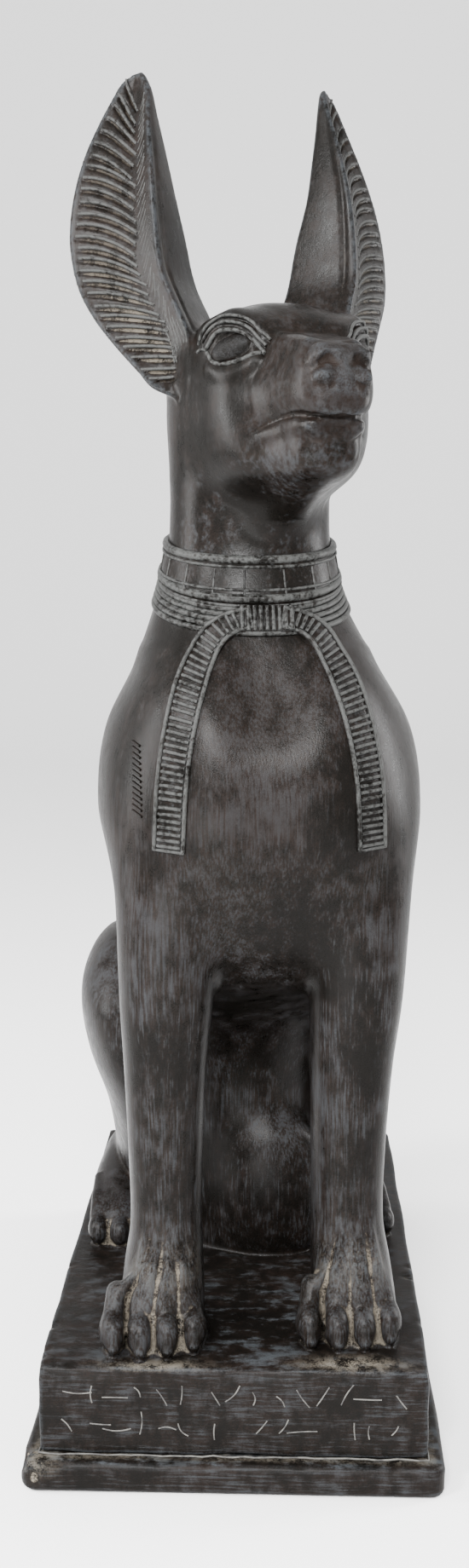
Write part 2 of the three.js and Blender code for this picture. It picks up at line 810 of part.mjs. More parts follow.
// Base slab with rounded corners and edges.
function baseSlab() {
  const width = blockWidth + 2 * ledge;
  const depth = blockDepth + 2 * ledge;
  const x = width / 2 - slabEdge;
  const y = depth / 2 - slabEdge;
  const corner = slabCorner - slabEdge;
  const outline = new THREE.Shape();
  outline.moveTo(-x + corner, -y);
  outline.lineTo(x - corner, -y);
  outline.absarc(x - corner, -y + corner, corner, -Math.PI / 2, 0);
  outline.lineTo(x, y - corner);
  outline.absarc(x - corner, y - corner, corner, 0, Math.PI / 2);
  outline.lineTo(-x + corner, y);
  outline.absarc(-x + corner, y - corner, corner, Math.PI / 2, Math.PI);
  outline.lineTo(-x, -y + corner);
  outline.absarc(-x + corner, -y + corner, corner, Math.PI, 1.5 * Math.PI);
  const form = new THREE.ExtrudeGeometry(outline, {
    depth: slabHeight - 2 * slabEdge,
    bevelThickness: slabEdge,
    bevelSize: slabEdge,
    bevelSegments: 2,
    curveSegments: 2,
  });
  return form.translate(0, 0, slabEdge);
}

// The jackal in its own frame, joined.
function jackal() {
  const head = headFrame();
  const headParts = [
    headForm(skullRows, skullSteps, skullSides),
    headForm(muzzleRows, muzzleSteps, muzzleSides),
    headForm(jawRows, muzzleSteps, muzzleSides),
    nose(),
  ];
  for (const side of [-1, 1]) {
    headParts.push(...ear(side), browRoll(side), ...eye(side));
  }
  const carved = join(headParts.map((part) => solid(part.applyMatrix4(head))));
  const holes = join(nostrils().map((part) => solid(part.applyMatrix4(head))));
  const bodyParts = [torso(), tail(), collar(), strands(), ...knot()];
  for (const side of [-1, 1]) {
    bodyParts.push(foreleg(side), ...frontPaw(side));
    bodyParts.push(thigh(side), ...hindFoot(side));
    bodyParts.push(...ribbon(side));
  }
  return join(bodyParts.map((part) => solid(part))).add(carved.subtract(holes));
}

function jackalAndBlock() {
  const placed = shape(jackal()).applyMatrix4(figurePlace());
  const plinth = solid(block());
  const cutters = join(inscription().map((cutter) => solid(cutter)));
  return shape(plinth.add(solid(placed)).subtract(cutters));
}

const castFinish = new THREE.MeshStandardMaterial({ color: 0x2b2624, roughness: 0.45, metalness: 0 });
const slabFinish = new THREE.MeshStandardMaterial({ color: 0x2f2b2a, roughness: 0.5, metalness: 0 });

function piece(name, geometry, material) {
  const mesh = new THREE.Mesh(geometry, material);
  mesh.name = name;
  return mesh;
}

const figure = new THREE.Group();
figure.add(piece('jackal_and_block', jackalAndBlock(), castFinish));
figure.add(piece('base_slab', baseSlab(), slabFinish));

export default figure;
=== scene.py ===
"""A seated jackal on a two-step plinth: a dark waxed casting with carved ears, a collar and a chest ribbon.

The forms are modelled like clay, as one distance field for each large piece, and meshed from it. Sizes are
in millimetres unless said. The figure has a frame of its own, with its feet at height 0 and -Y in front, and
so has the head. A figure unit is a hundredth of the figure's height above the plinth.
"""
import itertools
import logging
import math
from dataclasses import dataclass, field
from enum import Enum
from typing import Any, Callable, Iterable, Sequence

import bpy
import numpy as np
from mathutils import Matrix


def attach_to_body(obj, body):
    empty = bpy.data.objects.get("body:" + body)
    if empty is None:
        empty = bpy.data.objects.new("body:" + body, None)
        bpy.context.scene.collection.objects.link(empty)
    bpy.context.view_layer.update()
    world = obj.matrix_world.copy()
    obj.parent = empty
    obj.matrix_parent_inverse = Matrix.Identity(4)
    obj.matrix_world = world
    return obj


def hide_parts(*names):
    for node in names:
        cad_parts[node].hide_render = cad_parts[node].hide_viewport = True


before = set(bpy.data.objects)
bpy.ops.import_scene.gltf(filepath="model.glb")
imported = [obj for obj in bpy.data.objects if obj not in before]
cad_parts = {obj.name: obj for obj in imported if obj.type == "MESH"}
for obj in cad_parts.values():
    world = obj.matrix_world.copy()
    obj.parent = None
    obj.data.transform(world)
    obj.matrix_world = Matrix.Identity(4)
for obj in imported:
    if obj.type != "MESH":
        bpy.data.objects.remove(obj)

import openvdb

# Short names for types: numbers in a row or block, a piece, its material, a node's input or output, and the
# places along x, y and z.
Array = np.ndarray
Piece = bpy.types.Object
Material = bpy.types.Material
Socket = bpy.types.NodeSocket
Places = Sequence[np.ndarray]

LOG = logging.getLogger("jackal")
CAST = "jackal_and_block"
SLAB = "base_slab"
# One figure unit, and the middle of the neck in figure units.
UNIT = 7.57
NECK = -16.5
# What an empty place of a clay block holds, how near the skin the field counts when it is meshed, and how
# far past its fillet a form is worked out.
FAR = 60.0
BAND = 9.0
MARGIN = 5.0
ENDLESS = 1e4
# The squareness of the body's sections, where 2 is an ellipse.
ROUND = 2.2
# The way from in front of the figure into it.
INWARD = np.array([0.0, 1.0, 0.0])


class Axis(Enum):
    """The way a form's sections follow each other."""

    UP = "up"
    BACK = "back"


class Mark(Enum):
    """The kinds of stroke scratched in the block's front, by their lean in degrees."""

    UPRIGHT = 0.0
    LEFT = 34.0
    RIGHT = -34.0
    LEVEL = 90.0


# Places and turns.


def moved(x: float, y: float, z: float) -> Array:
    """A move as a 4 by 4 matrix."""
    place = np.eye(4)
    place[:3, 3] = (x, y, z)
    return place


def turned(axis: str, degrees: float) -> Array:
    """A turn about an axis as a 4 by 4 matrix.

    Args:
        axis: "x", "y" or "z".
        degrees: how far, by the right-hand rule.

    Returns:
        The matrix.
    """
    c = math.cos(math.radians(degrees))
    s = math.sin(math.radians(degrees))
    plane = {"x": (1, 2), "y": (2, 0), "z": (0, 1)}[axis]
    place = np.eye(4)
    place[np.ix_(plane, plane)] = ((c, -s), (s, c))
    return place


def carried(place: Array, points: Array) -> Array:
    """Points moved by a 4 by 4 matrix."""
    return points @ place[:3, :3].T + place[:3, 3]


@dataclass(frozen=True)
class Pose:
    """Where the figure and its head stand, as in the solids."""

    root: float = 74.3
    centre: float = -12.0
    turn: float = 6.2
    head: tuple[float, float, float] = (1.0, -11.2, 75.7)
    head_turn: float = 14.4
    head_lift: float = 7.8

    def figure(self) -> Array:
        """The figure's frame in the part's frame."""
        return moved(0, self.centre, self.root) @ turned("z", self.turn) @ moved(0, -self.centre, 0)

    def head_in_figure(self) -> Array:
        """The head's frame in the figure's frame."""
        x, y, z = (UNIT * value for value in self.head)
        return moved(x, y, z) @ turned("z", self.head_turn) @ turned("x", -self.head_lift)

    def head_in_part(self) -> Array:
        """The head's frame in the part's frame."""
        return self.figure() @ self.head_in_figure()


# Curves and rows of sections.


def through(rows: Array, at: Array) -> Array:
    """A smooth curve through rows of values.

    Args:
        rows: one row for each key, the key first.
        at: the keys to read the curve at.

    Returns:
        One row of values for each key read.
    """
    keys, values = rows[:, 0], rows[:, 1:]
    slopes = np.gradient(values, axis=0)
    slopes[1:-1] = (values[2:] - values[:-2]) / (keys[2:] - keys[:-2])[:, None]
    slopes[0] = (values[1] - values[0]) / (keys[1] - keys[0])
    slopes[-1] = (values[-1] - values[-2]) / (keys[-1] - keys[-2])
    at = np.clip(at, keys[0], keys[-1])
    low = np.clip(np.searchsorted(keys, at) - 1, 0, len(keys) - 2)
    span = (keys[low + 1] - keys[low])[..., None]
    s = (at - keys[low])[..., None] / span
    start = (2 * s**3 - 3 * s**2 + 1) * values[low] + (s**3 - 2 * s**2 + s) * span * slopes[low]
    return start + (3 * s**2 - 2 * s**3) * values[low + 1] + (s**3 - s**2) * span * slopes[low + 1]


def step_up(value: Array, low: float, high: float) -> Array:
    """A soft step from 0 at low to 1 at high."""
    share = np.clip((value - low) / (high - low), 0, 1)
    return share * share * (3 - 2 * share)


def ridge_of(distance: Array, width: float) -> Array:
    """A rounded ridge, 1 high on its crest and gone at about its width."""
    return np.exp(-((distance / width) ** 2))


class Form:
    """A shape that tells how far any point is from its skin, less than 0 inside."""

    def box(self) -> tuple[Array, Array]:
        """Lowest and highest corner in the form's own frame."""
        raise NotImplementedError

    def distance(self, at: Places) -> Array:
        """Distance of each place from the skin."""
        raise NotImplementedError


class Rows(Form):
    """A rounded form from rows of sections: [key, middle, middle, half-size, half-size], in figure units."""

    fine_rows = 240
    thinnest = 0.4
    core = 0.05

    def __init__(self, rows: Sequence[Sequence[float]], axis: Axis, squareness: float = ROUND) -> None:
        """Keeps the rows in millimetres, with a fine table of the curve through them.

        Args:
            rows: the sections.
            axis: the way they follow each other.
            squareness: 2 for ellipses, more for squarer sections.
        """
        self.rows = np.array(rows, float) * UNIT
        self.axis = axis
        self.squareness = squareness
        self.keys = np.linspace(self.rows[0, 0], self.rows[-1, 0], self.fine_rows)
        least = (-ENDLESS, -ENDLESS, self.thinnest, self.thinnest)
        self.table = np.maximum(through(self.rows, self.keys), least)

    def box(self) -> tuple[Array, Array]:
        """The box round the form.

        Returns:
            Its lowest and highest corner.
        """
        low = (self.table[:, :2] - self.table[:, 2:]).min(0)
        high = (self.table[:, :2] + self.table[:, 2:]).max(0)
        ends = (self.keys[0], self.keys[-1])
        if self.axis is Axis.UP:
            return np.array([low[0], low[1], ends[0]]), np.array([high[0], high[1], ends[1]])
        return np.array([low[0], ends[0], low[1]]), np.array([high[0], ends[1], high[1]])

    def distance(self, at: Places) -> Array:
        """Distance of each place from the skin, measured across the form.

        Args:
            at: the places along x, y and z.

        Returns:
            The distances.
        """
        x, y, z = at
        key, other = (z, y) if self.axis is Axis.UP else (y, z)
        first, second, half_first, half_second = (
            np.interp(key, self.keys, self.table[:, i]).astype(np.float32) for i in range(4)
        )
        u = np.abs(x - first)
        v = np.abs(other - second)
        power = self.squareness
        rho = ((u / half_first) ** power + (v / half_second) ** power) ** (1 / power)
        outside = np.hypot(u, v) * (1 - 1 / np.maximum(rho, self.core))
        across = np.where(rho < self.core, -np.minimum(half_first, half_second), outside)
        ends = np.maximum(self.keys[0] - key, key - self.keys[-1])
        return np.maximum(across, ends)


class Ball(Form):
    """An egg with three half-sizes."""

    def __init__(self, centre: Sequence[float], radii: Sequence[float]) -> None:
        """Keeps the middle and the half-sizes, in millimetres."""
        self.centre = np.array(centre, float)
        self.radii = np.array(radii, float)

    def box(self) -> tuple[Array, Array]:
        """Lowest and highest corner."""
        return self.centre - self.radii, self.centre + self.radii

    def distance(self, at: Places) -> Array:
        """Distance of each place from the skin.

        Args:
            at: the places along x, y and z.

        Returns:
            The distances.
        """
        parts = [value - middle for value, middle in zip(at, self.centre)]
        near = np.sqrt(sum((part / radius) ** 2 for part, radius in zip(parts, self.radii)))
        slope = np.sqrt(sum((part / radius**2) ** 2 for part, radius in zip(parts, self.radii)))
        return near * (near - 1) / np.maximum(slope, 1e-4)


class Roll(Form):
    """A round roll along points, with one radius at each."""

    def __init__(self, points: Sequence[Sequence[float]], radii: Sequence[float] | float) -> None:
        """Keeps the points and radii, in millimetres."""
        self.points = np.array(points, float)
        self.radii = np.broadcast_to(np.array(radii, float), (len(self.points),))

    def box(self) -> tuple[Array, Array]:
        """Lowest and highest corner."""
        reach = self.radii[:, None]
        return (self.points - reach).min(0), (self.points + reach).max(0)

    def distance(self, at: Places) -> Array:
        """Distance of each place from the skin.

        Args:
            at: the places along x, y and z.

        Returns:
            The distances.
        """
        (x, y, z), best = at, None
        for a, b, ra, rb in zip(self.points[:-1], self.points[1:], self.radii[:-1], self.radii[1:]):
            way = b - a
            length = float(way @ way) or 1e-6
            share = np.clip(((x - a[0]) * way[0] + (y - a[1]) * way[1] + (z - a[2]) * way[2]) / length, 0, 1)
            off = [value - start - share * step for value, start, step in zip(at, a, way)]
            near = np.sqrt(off[0] ** 2 + off[1] ** 2 + off[2] ** 2) - (ra + (rb - ra) * share)
            best = near if best is None else np.minimum(best, near)
        return best


class Beyond(Form):
    """Everything on one side of a plane."""

    def __init__(self, point: Sequence[float], way: Sequence[float]) -> None:
        """Keeps a point of the plane and the way out of the form, in millimetres."""
        self.point = np.array(point, float)
        self.way = np.array(way, float) / np.linalg.norm(way)

    def box(self) -> tuple[Array, Array]:
        """The form has no ends."""
        return np.full(3, -ENDLESS), np.full(3, ENDLESS)

    def distance(self, at: Places) -> Array:
        """Distance of each point from the plane."""
        return sum((value - start) * part for value, start, part in zip(at, self.point, self.way))


class Bar(Form):
    """A block with rounded corners in plan and rounded edges."""

    def __init__(self, low: Sequence[float], high: Sequence[float], corner: float, edge: float) -> None:
        """Keeps the corners and the radii of the upright and the level edges."""
        self.low, self.high = np.array(low, float), np.array(high, float)
        self.corner, self.edge = corner, edge

    def box(self) -> tuple[Array, Array]:
        """Lowest and highest corner."""
        return self.low, self.high

    def distance(self, at: Places) -> Array:
        """Distance of each place from the skin.

        Args:
            at: the places along x, y and z.

        Returns:
            The distances.
        """
        x, y, z = at
        middle, half = (self.low + self.high) / 2, (self.high - self.low) / 2
        u = np.abs(x - middle[0]) - half[0] + self.corner
        v = np.abs(y - middle[1]) - half[1] + self.corner
        plan = np.hypot(np.maximum(u, 0), np.maximum(v, 0)) + np.minimum(np.maximum(u, v), 0) - self.corner
        plan = plan + self.edge
        rise = np.abs(z - middle[2]) - half[2] + self.edge
        out = np.hypot(np.maximum(plan, 0), np.maximum(rise, 0))
        return out + np.minimum(np.maximum(plan, rise), 0) - self.edge


@dataclass
class EarShape:
    """Sizes of an ear, in figure units unless said."""

    plume_angle: float = math.radians(48.5)
    smooth_angle: float = math.radians(46.5)
    thinnest: float = 0.05
    scoop: float = 0.75
    back: float = 1.5
    swell: float = 0.10
    full_width: float = 4.0
    groove_share: float = 0.17
    groove_mm: float = 1.1
    groove_width_mm: float = 1.5
    skin_mm: float = 0.5

    @property
    def plume_way(self) -> Array:
        """The way across the plume face, from the front edge."""
        return np.array([math.cos(self.plume_angle), math.sin(self.plume_angle)])

    @property
    def smooth_way(self) -> Array:
        """The way across the smooth face, from the front edge."""
        return np.array([-math.cos(self.smooth_angle), math.sin(self.smooth_angle)])

    def face(self, row: Array, shares: Array) -> Array:
        """Places across the hollow plume face at one level.

        Args:
            row: the level's front edge, sideways and forward, and the widths of its two faces.
            shares: where to read the face, from the front edge at 0 to the outer edge at 1.

        Returns:
            The sideways and backward places.
        """
        side, forward, plume, _ = row
        width = max(plume, self.thinnest)
        part = min(width / self.full_width, 1)
        inward = np.array([-self.plume_way[1], self.plume_way[0]])
        shares = np.asarray(shares, float)[:, None]
        hollow = self.scoop * part * np.sin(math.pi * shares) * inward
        return np.array([side, -forward]) + width * shares * self.plume_way + hollow


# An ear's level sections, in figure units: height, the front edge's place sideways and forward, and the
# widths of the plume face and of the smooth face.
EAR_ROWS = np.array([
    [-1.6, 6.6, 1.6, 1.6, 2.4],
    [-0.7, 6.8, 2.0, 3.5, 5.0],
    [0.7, 6.7, 1.7, 4.7, 5.8],
    [3.3, 6.7, 1.3, 6.8, 6.6],
    [5.9, 7.4, 0.5, 7.7, 6.6],
    [8.6, 8.2, 0.0, 8.0, 6.2],
    [12.3, 8.4, -0.35, 8.2, 5.3],
    [15.9, 8.3, -0.85, 7.6, 3.8],
    [19.2, 8.1, -1.7, 6.3, 2.6],
    [21.8, 7.9, -2.5, 4.7, 1.6],
    [23.8, 7.75, -3.1, 3.2, 0.9],
    [24.6, 7.8, -3.5, 2.4, 0.65],
    [25.05, 7.85, -3.75, 1.75, 0.5],
    [25.35, 7.95, -3.95, 0.9, 0.3],
])


class Ear(Form):
    """An ear from level sections: a hollow plume face, a smooth face and a rounded back."""

    def __init__(self, side: int, shape: EarShape) -> None:
        """Keeps the side, -1 for the figure's right, and the carving."""
        self.side = side
        self.shape = shape

    def box(self) -> tuple[Array, Array]:
        """Lowest and highest corner."""
        x = sorted((self.side * 1.0 * UNIT, self.side * 14.6 * UNIT))
        return np.array([x[0], -2.6 * UNIT, -1.7 * UNIT]), np.array([x[1], 9.6 * UNIT, 25.2 * UNIT])

    def distance(self, at: Places) -> Array:
        """Distance of each place from the skin, level by level.

        Args:
            at: the places along x, y and z.

        Returns:
            The distances.
        """
        x, y, z = at
        u = (self.side * x[:, :, 0]) / UNIT
        v = y[:, :, 0] / UNIT
        levels = z.ravel() / UNIT
        rows = through(EAR_ROWS, levels)
        out = np.empty((u.shape[0], v.shape[1], len(levels)), np.float32)
        for k, (level, row) in enumerate(zip(levels, rows)):
            over = max(EAR_ROWS[0, 0] - level, level - EAR_ROWS[-1, 0], 0.0)
            out[:, :, k] = (self.section(u, v, row) + over) * UNIT
        for axis in range(3):
            out = smoothed(out, axis, 1)
        return out - self.shape.skin_mm

    def section(self, u: Array, v: Array, row: Array) -> Array:
        """Distance from one level section, in figure units.

        Args:
            u: sideways places, a column.
            v: backward places, a row.
            row: the section's edge and its two widths.

        Returns:
            One distance for each place.
        """
        side, forward, plume, smooth = row
        shape = self.shape
        plume, smooth = max(plume, shape.thinnest), max(smooth, shape.thinnest)
        edge = np.array([side, -forward])
        part = min(plume / shape.full_width, 1)
        front = shape.face(row, np.linspace(0, 1, 11))
        outer, inner = edge + plume * shape.plume_way, edge + smooth * shape.smooth_way
        shares = np.linspace(0, 1, 11)[1:, None]
        bulge = shape.back * part * np.sin(math.pi * shares) ** 0.8
        rear = outer + (inner - outer) * shares + bulge * INWARD[:2]
        shares = np.linspace(1, 0, 8)[1:-1, None]
        swell = -shape.swell * min(smooth / 4, 1) * np.sin(math.pi * shares)
        flange = edge + smooth * shares * shape.smooth_way
        flange = flange + swell * np.array([shape.smooth_way[1], -shape.smooth_way[0]])
        near = outline_distance(u, v, np.vstack([front, rear, flange]))
        across = (u - side) * shape.smooth_way[0] + (v + forward) * shape.smooth_way[1]
        behind = (u - side) * shape.smooth_way[1] - (v + forward) * shape.smooth_way[0]
        return near + self.groove(across, behind, smooth) / UNIT

    def groove(self, across: Array, behind: Array, smooth: float) -> Array:
        """Depth of the groove beside the front edge.

        Args:
            across: places across the smooth face, in figure units.
            behind: places behind it, in figure units.
            smooth: the face's width there, in figure units.

        Returns:
            The depths.
        """
        shape = self.shape
        place = (across - shape.groove_share * smooth) * UNIT
        width = min(shape.groove_width_mm, 0.06 * smooth * UNIT + 0.2)
        front = 1 - step_up(np.abs(behind), 0.25, 0.7)
        return shape.groove_mm * min(smooth / 3, 1) * ridge_of(place, width) * front


def outline_distance(u: Array, v: Array, outline: Array) -> Array:
    """Distance from a closed outline in a plane, less than 0 inside.

    Args:
        u: first places, a column.
        v: second places, a row.
        outline: the corners in order.

    Returns:
        One distance for each place.
    """
    start, end = outline, np.roll(outline, -1, axis=0)
    way = end - start
    from_u = u[:, :, None] - start[:, 0]
    from_v = v[:, :, None] - start[:, 1]
    length = np.maximum((way**2).sum(1), 1e-9)
    share = np.clip((from_u * way[:, 0] + from_v * way[:, 1]) / length, 0, 1)
    off = (from_u - share * way[:, 0]) ** 2 + (from_v - share * way[:, 1]) ** 2
    low = v[:, :, None] >= start[:, 1]
    below = v[:, :, None] < end[:, 1]
    left = way[:, 0] * from_v > way[:, 1] * from_u
    crossings = ((low & below & left) | (~low & ~below & ~left)).sum(2)
    return np.sqrt(off.min(2)) * np.where(crossings % 2 == 1, -1.0, 1.0)


class Clay:
    """A block of space that holds how far each place is from the modelled skin."""

    def __init__(self, low: Sequence[float], high: Sequence[float], step: float) -> None:
        """Makes the empty block.

        Args:
            low: lowest corner, in millimetres.
            high: highest corner.
            step: distance between places.
        """
        self.low = np.array(low, float)
        self.step = step
        counts = np.ceil((np.array(high, float) - self.low) / step).astype(int) + 1
        self.axes = [(self.low[i] + step * np.arange(counts[i])).astype(np.float32) for i in range(3)]
        self.field = np.full(counts, FAR, np.float32)

    def window(self, form: Form, place: Array | None, reach: float) -> tuple[slice, ...]:
        """The part of the block that a form reaches.

        Args:
            form: the form.
            place: its own frame, or none where it has the block's.
            reach: how far past its skin it counts.

        Returns:
            A slice for each axis.
        """
        low, high = form.box()
        if place is not None:
            corners = carried(place, np.array(list(itertools.product(*zip(low, high)))))
            low, high = corners.min(0), corners.max(0)
        slices = []
        for i in range(3):
            count = len(self.axes[i])
            first = int(np.clip(np.floor((low[i] - reach - self.low[i]) / self.step), 0, count))
            last = int(np.clip(np.ceil((high[i] + reach - self.low[i]) / self.step) + 1, first, count))
            slices.append(slice(first, last))
        return tuple(slices)

    def places(self, window: tuple[slice, ...], place: Array | None) -> list[Array]:
        """Coordinates of a window's places, in a form's own frame.

        Args:
            window: a slice for each axis.
            place: the form's frame, or none where it has the block's.

        Returns:
            The coordinates along x, y and z.
        """
        x = self.axes[0][window[0]][:, None, None]
        y = self.axes[1][window[1]][None, :, None]
        z = self.axes[2][window[2]][None, None, :]
        if place is None:
            return [x, y, z]
        back = np.linalg.inv(place).astype(np.float32)
        return [back[i, 0] * x + back[i, 1] * y + back[i, 2] * z + back[i, 3] for i in range(3)]

    def add(self, form: Form, blend: float = 0.0, place: Array | None = None) -> None:
        """Joins a form on, with a fillet about as wide as blend."""
        window = self.window(form, place, blend + MARGIN)
        self.field[window] = soft_low(self.field[window], form.distance(self.places(window, place)), blend)

    def cut(self, form: Form, blend: float = 0.0, place: Array | None = None) -> None:
        """Cuts a form away, with its edge eased by about blend."""
        window = self.window(form, place, blend + MARGIN)
        self.field[window] = -soft_low(-self.field[window], form.distance(self.places(window, place)), blend)

    def whole(self) -> tuple[slice, ...]:
        """The window that holds the whole block."""
        return tuple(slice(0, len(axis)) for axis in self.axes)

    def keep(self, form: Form, place: Array | None = None) -> None:
        """Keeps only what is inside a form."""
        inside = form.distance(self.places(self.whole(), place))
        self.field = np.maximum(self.field, inside.astype(np.float32))

    def settle(self, points: Array, way: Array, reach: float = 40.0) -> Array:
        """Moves points along a way until they meet the skin from outside.

        Args:
            points: starting places, outside the skin.
            way: one direction for all, or one for each.
            reach: how far to look.

        Returns:
            The places on the skin.
        """
        way = np.broadcast_to(way / np.linalg.norm(way, axis=-1, keepdims=True), points.shape)
        steps = np.arange(0, reach, self.step * 0.4)
        trail = points[:, None, :] + way[:, None, :] * steps[None, :, None]
        field = self.read(self.field, trail.reshape(-1, 3)).reshape(trail.shape[:2])
        inside = field < 0
        first = np.maximum(inside.argmax(1), 1)
        rows = np.arange(len(points))
        before, after = field[rows, first - 1], field[rows, first]
        share = np.clip(before / np.maximum(before - after, 1e-6), 0, 1)
        found = steps[first - 1] + share * (steps[1] - steps[0])
        return points + way * np.where(inside.any(1), found, 0)[:, None]

    def read(self, values: Array, points: Array) -> Array:
        """Values of a block of numbers at points, blended between places.

        Args:
            values: a number for each place of the block.
            points: where to read them.

        Returns:
            One value for each point.
        """
        at = (points - self.low) / self.step
        at = np.clip(at, 0, np.array(values.shape) - 1.001)
        base = at.astype(int)
        part = (at - base).astype(np.float32)
        total = np.zeros(len(points), np.float32)
        for corner in itertools.product((0, 1), repeat=3):
            weight = 1.0
            for axis, far in enumerate(corner):
                weight = weight * (part[:, axis] if far else 1 - part[:, axis])
            i, j, k = (base + corner).T
            total += weight * values[i, j, k]
        return total

    def hollows(self, points: Array, reach: float) -> Array:
        """How sunken the skin is at points.

        Args:
            points: places on the skin.
            reach: the size of the hollows that count.

        Returns:
            About -1 on sharp edges, 0 on plain skin and 1 in sharp grooves.
        """
        size = max(int(round(reach / self.step)), 1)
        values = np.clip(self.field, -reach, reach)
        for axis in range(3):
            values = smoothed(values, axis, size)
        return -self.read(values, points) / (0.35 * reach)

    def skin(self) -> tuple[Array, Array]:
        """The skin as a mesh.

        Returns:
            Its points, and its four-sided faces, which point outwards.
        """
        grid = openvdb.FloatGrid(BAND)
        grid.copyFromArray(np.clip(self.field, -BAND, BAND), tolerance=0.0)
        points, quads = grid.convertToQuads(isovalue=0.0)
        return points.astype(np.float64) * self.step + self.low, quads[:, ::-1]


def soft_low(a: Array, b: Array, blend: float) -> Array:
    """The lower of two fields, with a fillet where they are close.

    Args:
        a: one field.
        b: the other.
        blend: the fillet's width.

    Returns:
        The joined field.
    """
    if blend <= 0:
        return np.minimum(a, b).astype(np.float32)
    share = np.clip(0.5 + 0.5 * (b - a) / blend, 0, 1)
    return (b + (a - b) * share - blend * share * (1 - share)).astype(np.float32)


def smoothed(values: Array, axis: int, size: int) -> Array:
    """A running mean along one axis.

    Args:
        values: the numbers.
        axis: the axis.
        size: how many places each way it takes in.

    Returns:
        The mean at each place.
    """
    before = np.repeat(np.take(values, [0], axis), size + 1, axis)
    after = np.repeat(np.take(values, [-1], axis), size, axis)
    total = np.cumsum(np.concatenate([before, values, after], axis), axis, dtype=np.float64)
    count = values.shape[axis]
    high = np.take(total, range(2 * size + 1, 2 * size + 1 + count), axis)
    low = np.take(total, range(0, count), axis)
    return ((high - low) / (2 * size + 1)).astype(np.float32)


# Meshes.


def in_scene(name: str, data: Any) -> Piece:
    """A new object with its data, linked into the scene."""
    piece = bpy.data.objects.new(name, data)
    bpy.context.scene.collection.objects.link(piece)
    return piece


def mesh_of(name: str, points: Array, faces: Array) -> Piece:
    """A smooth object from points and faces that all have as many corners.

    Args:
        name: the piece's name.
        points: one row for each point.
        faces: one row of point numbers for each face.

    Returns:
        The piece.
    """
    mesh = bpy.data.meshes.new(name)
    mesh.vertices.add(len(points))
    mesh.vertices.foreach_set("co", (points / 1000).astype(np.float32).ravel())
    mesh.loops.add(faces.size)
    mesh.loops.foreach_set("vertex_index", faces.astype(np.int32).ravel())
    mesh.polygons.add(len(faces))
    mesh.polygons.foreach_set("loop_start", np.arange(0, faces.size, faces.shape[1], dtype=np.int32))
    mesh.update(calc_edges=True)
    mesh.shade_smooth()
    return in_scene(name, mesh)


def settled_mesh(piece: Piece) -> None:
    """Turns a piece with modifiers into a plain mesh.

    Args:
        piece: the piece.
    """
    graph = bpy.context.evaluated_depsgraph_get()
    plain = bpy.data.meshes.new_from_object(piece.evaluated_get(graph))
    plain.name = piece.name
    piece.modifiers.clear()
    piece.data = plain


def triangles_of(piece: Piece) -> int:
    """How many triangles a piece has."""
    return sum(len(face.vertices) - 2 for face in piece.data.polygons)


def thinned(piece: Piece, triangles: int) -> None:
    """Joins small faces where the skin is plain.

    Args:
        piece: the piece.
        triangles: the most it may have.
    """
    count = triangles_of(piece)
    if count <= triangles:
        return
    modifier = piece.modifiers.new("thin", "DECIMATE")
    modifier.ratio = triangles / count
    settled_mesh(piece)
    piece.data.shade_smooth()


def skinned(name: str, rings: Array, joined: bool, place: Array) -> Piece:
    """A closed piece over rings of points, with its faces pointing out.

    Args:
        name: the piece's name.
        rings: rings of points, all with as many.
        joined: whether the last ring meets the first.
        place: their frame.

    Returns:
        The piece.
    """
    count, sides = rings.shape[:2]
    corners = carried(place, rings.reshape(-1, 3))
    faces = []
    for r in range(count if joined else count - 1):
        for i in range(sides):
            after = ((r + 1) % count) * sides
            turn = (i + 1) % sides
            faces.append((r * sides + i, r * sides + turn, after + turn, after + i))
    if not joined:
        faces.append(tuple(reversed(range(sides))))
        faces.append(tuple((count - 1) * sides + i for i in range(sides)))
    volume = 0.0
    for face in faces:
        a = corners[face[0]]
        for b, c in zip(face[1:-1], face[2:]):
            volume += float(a @ np.cross(corners[b], corners[c]))
    if volume < 0:
        faces = [face[::-1] for face in faces]
    mesh = bpy.data.meshes.new(name)
    mesh.from_pydata([tuple(point) for point in corners / 1000], [], faces)
    mesh.shade_smooth()
    return in_scene(name, mesh)


# Geometry Nodes.


class Value:
    """A node's output that can stand in sums."""

    def __init__(self, nodes: "Nodes", socket: Socket) -> None:
        """Keeps the socket and the nodes it belongs to."""
        self.nodes = nodes
        self.socket = socket

    def __add__(self, other: Any) -> "Value":
        """Sum."""
        return self.nodes.math("ADD", self, other)

    def __radd__(self, other: Any) -> "Value":
        """Sum, from the right."""
        return self.nodes.math("ADD", other, self)

    def __sub__(self, other: Any) -> "Value":
        """Difference."""
        return self.nodes.math("SUBTRACT", self, other)

    def __rsub__(self, other: Any) -> "Value":
        """Difference, from the right."""
        return self.nodes.math("SUBTRACT", other, self)

    def __mul__(self, other: Any) -> "Value":
        """Product."""
        return self.nodes.math("MULTIPLY", self, other)

    def step(self, low: float, high: float) -> "Value":
        """A soft step from 0 at low to 1 at high."""
        settings = {"interpolation_type": "SMOOTHSTEP", "clamp": True}
        sockets = {"Value": self, "From Min": low, "From Max": high, "To Min": 0.0, "To Max": 1.0}
        return Value(self.nodes, self.nodes.node("ShaderNodeMapRange", settings, sockets).outputs[0])

    def held(self) -> "Value":
        """The value, kept between 0 and 1."""
        sockets = {"Value": self, "Min": 0.0, "Max": 1.0}
        return Value(self.nodes, self.nodes.node("ShaderNodeClamp", {}, sockets).outputs[0])


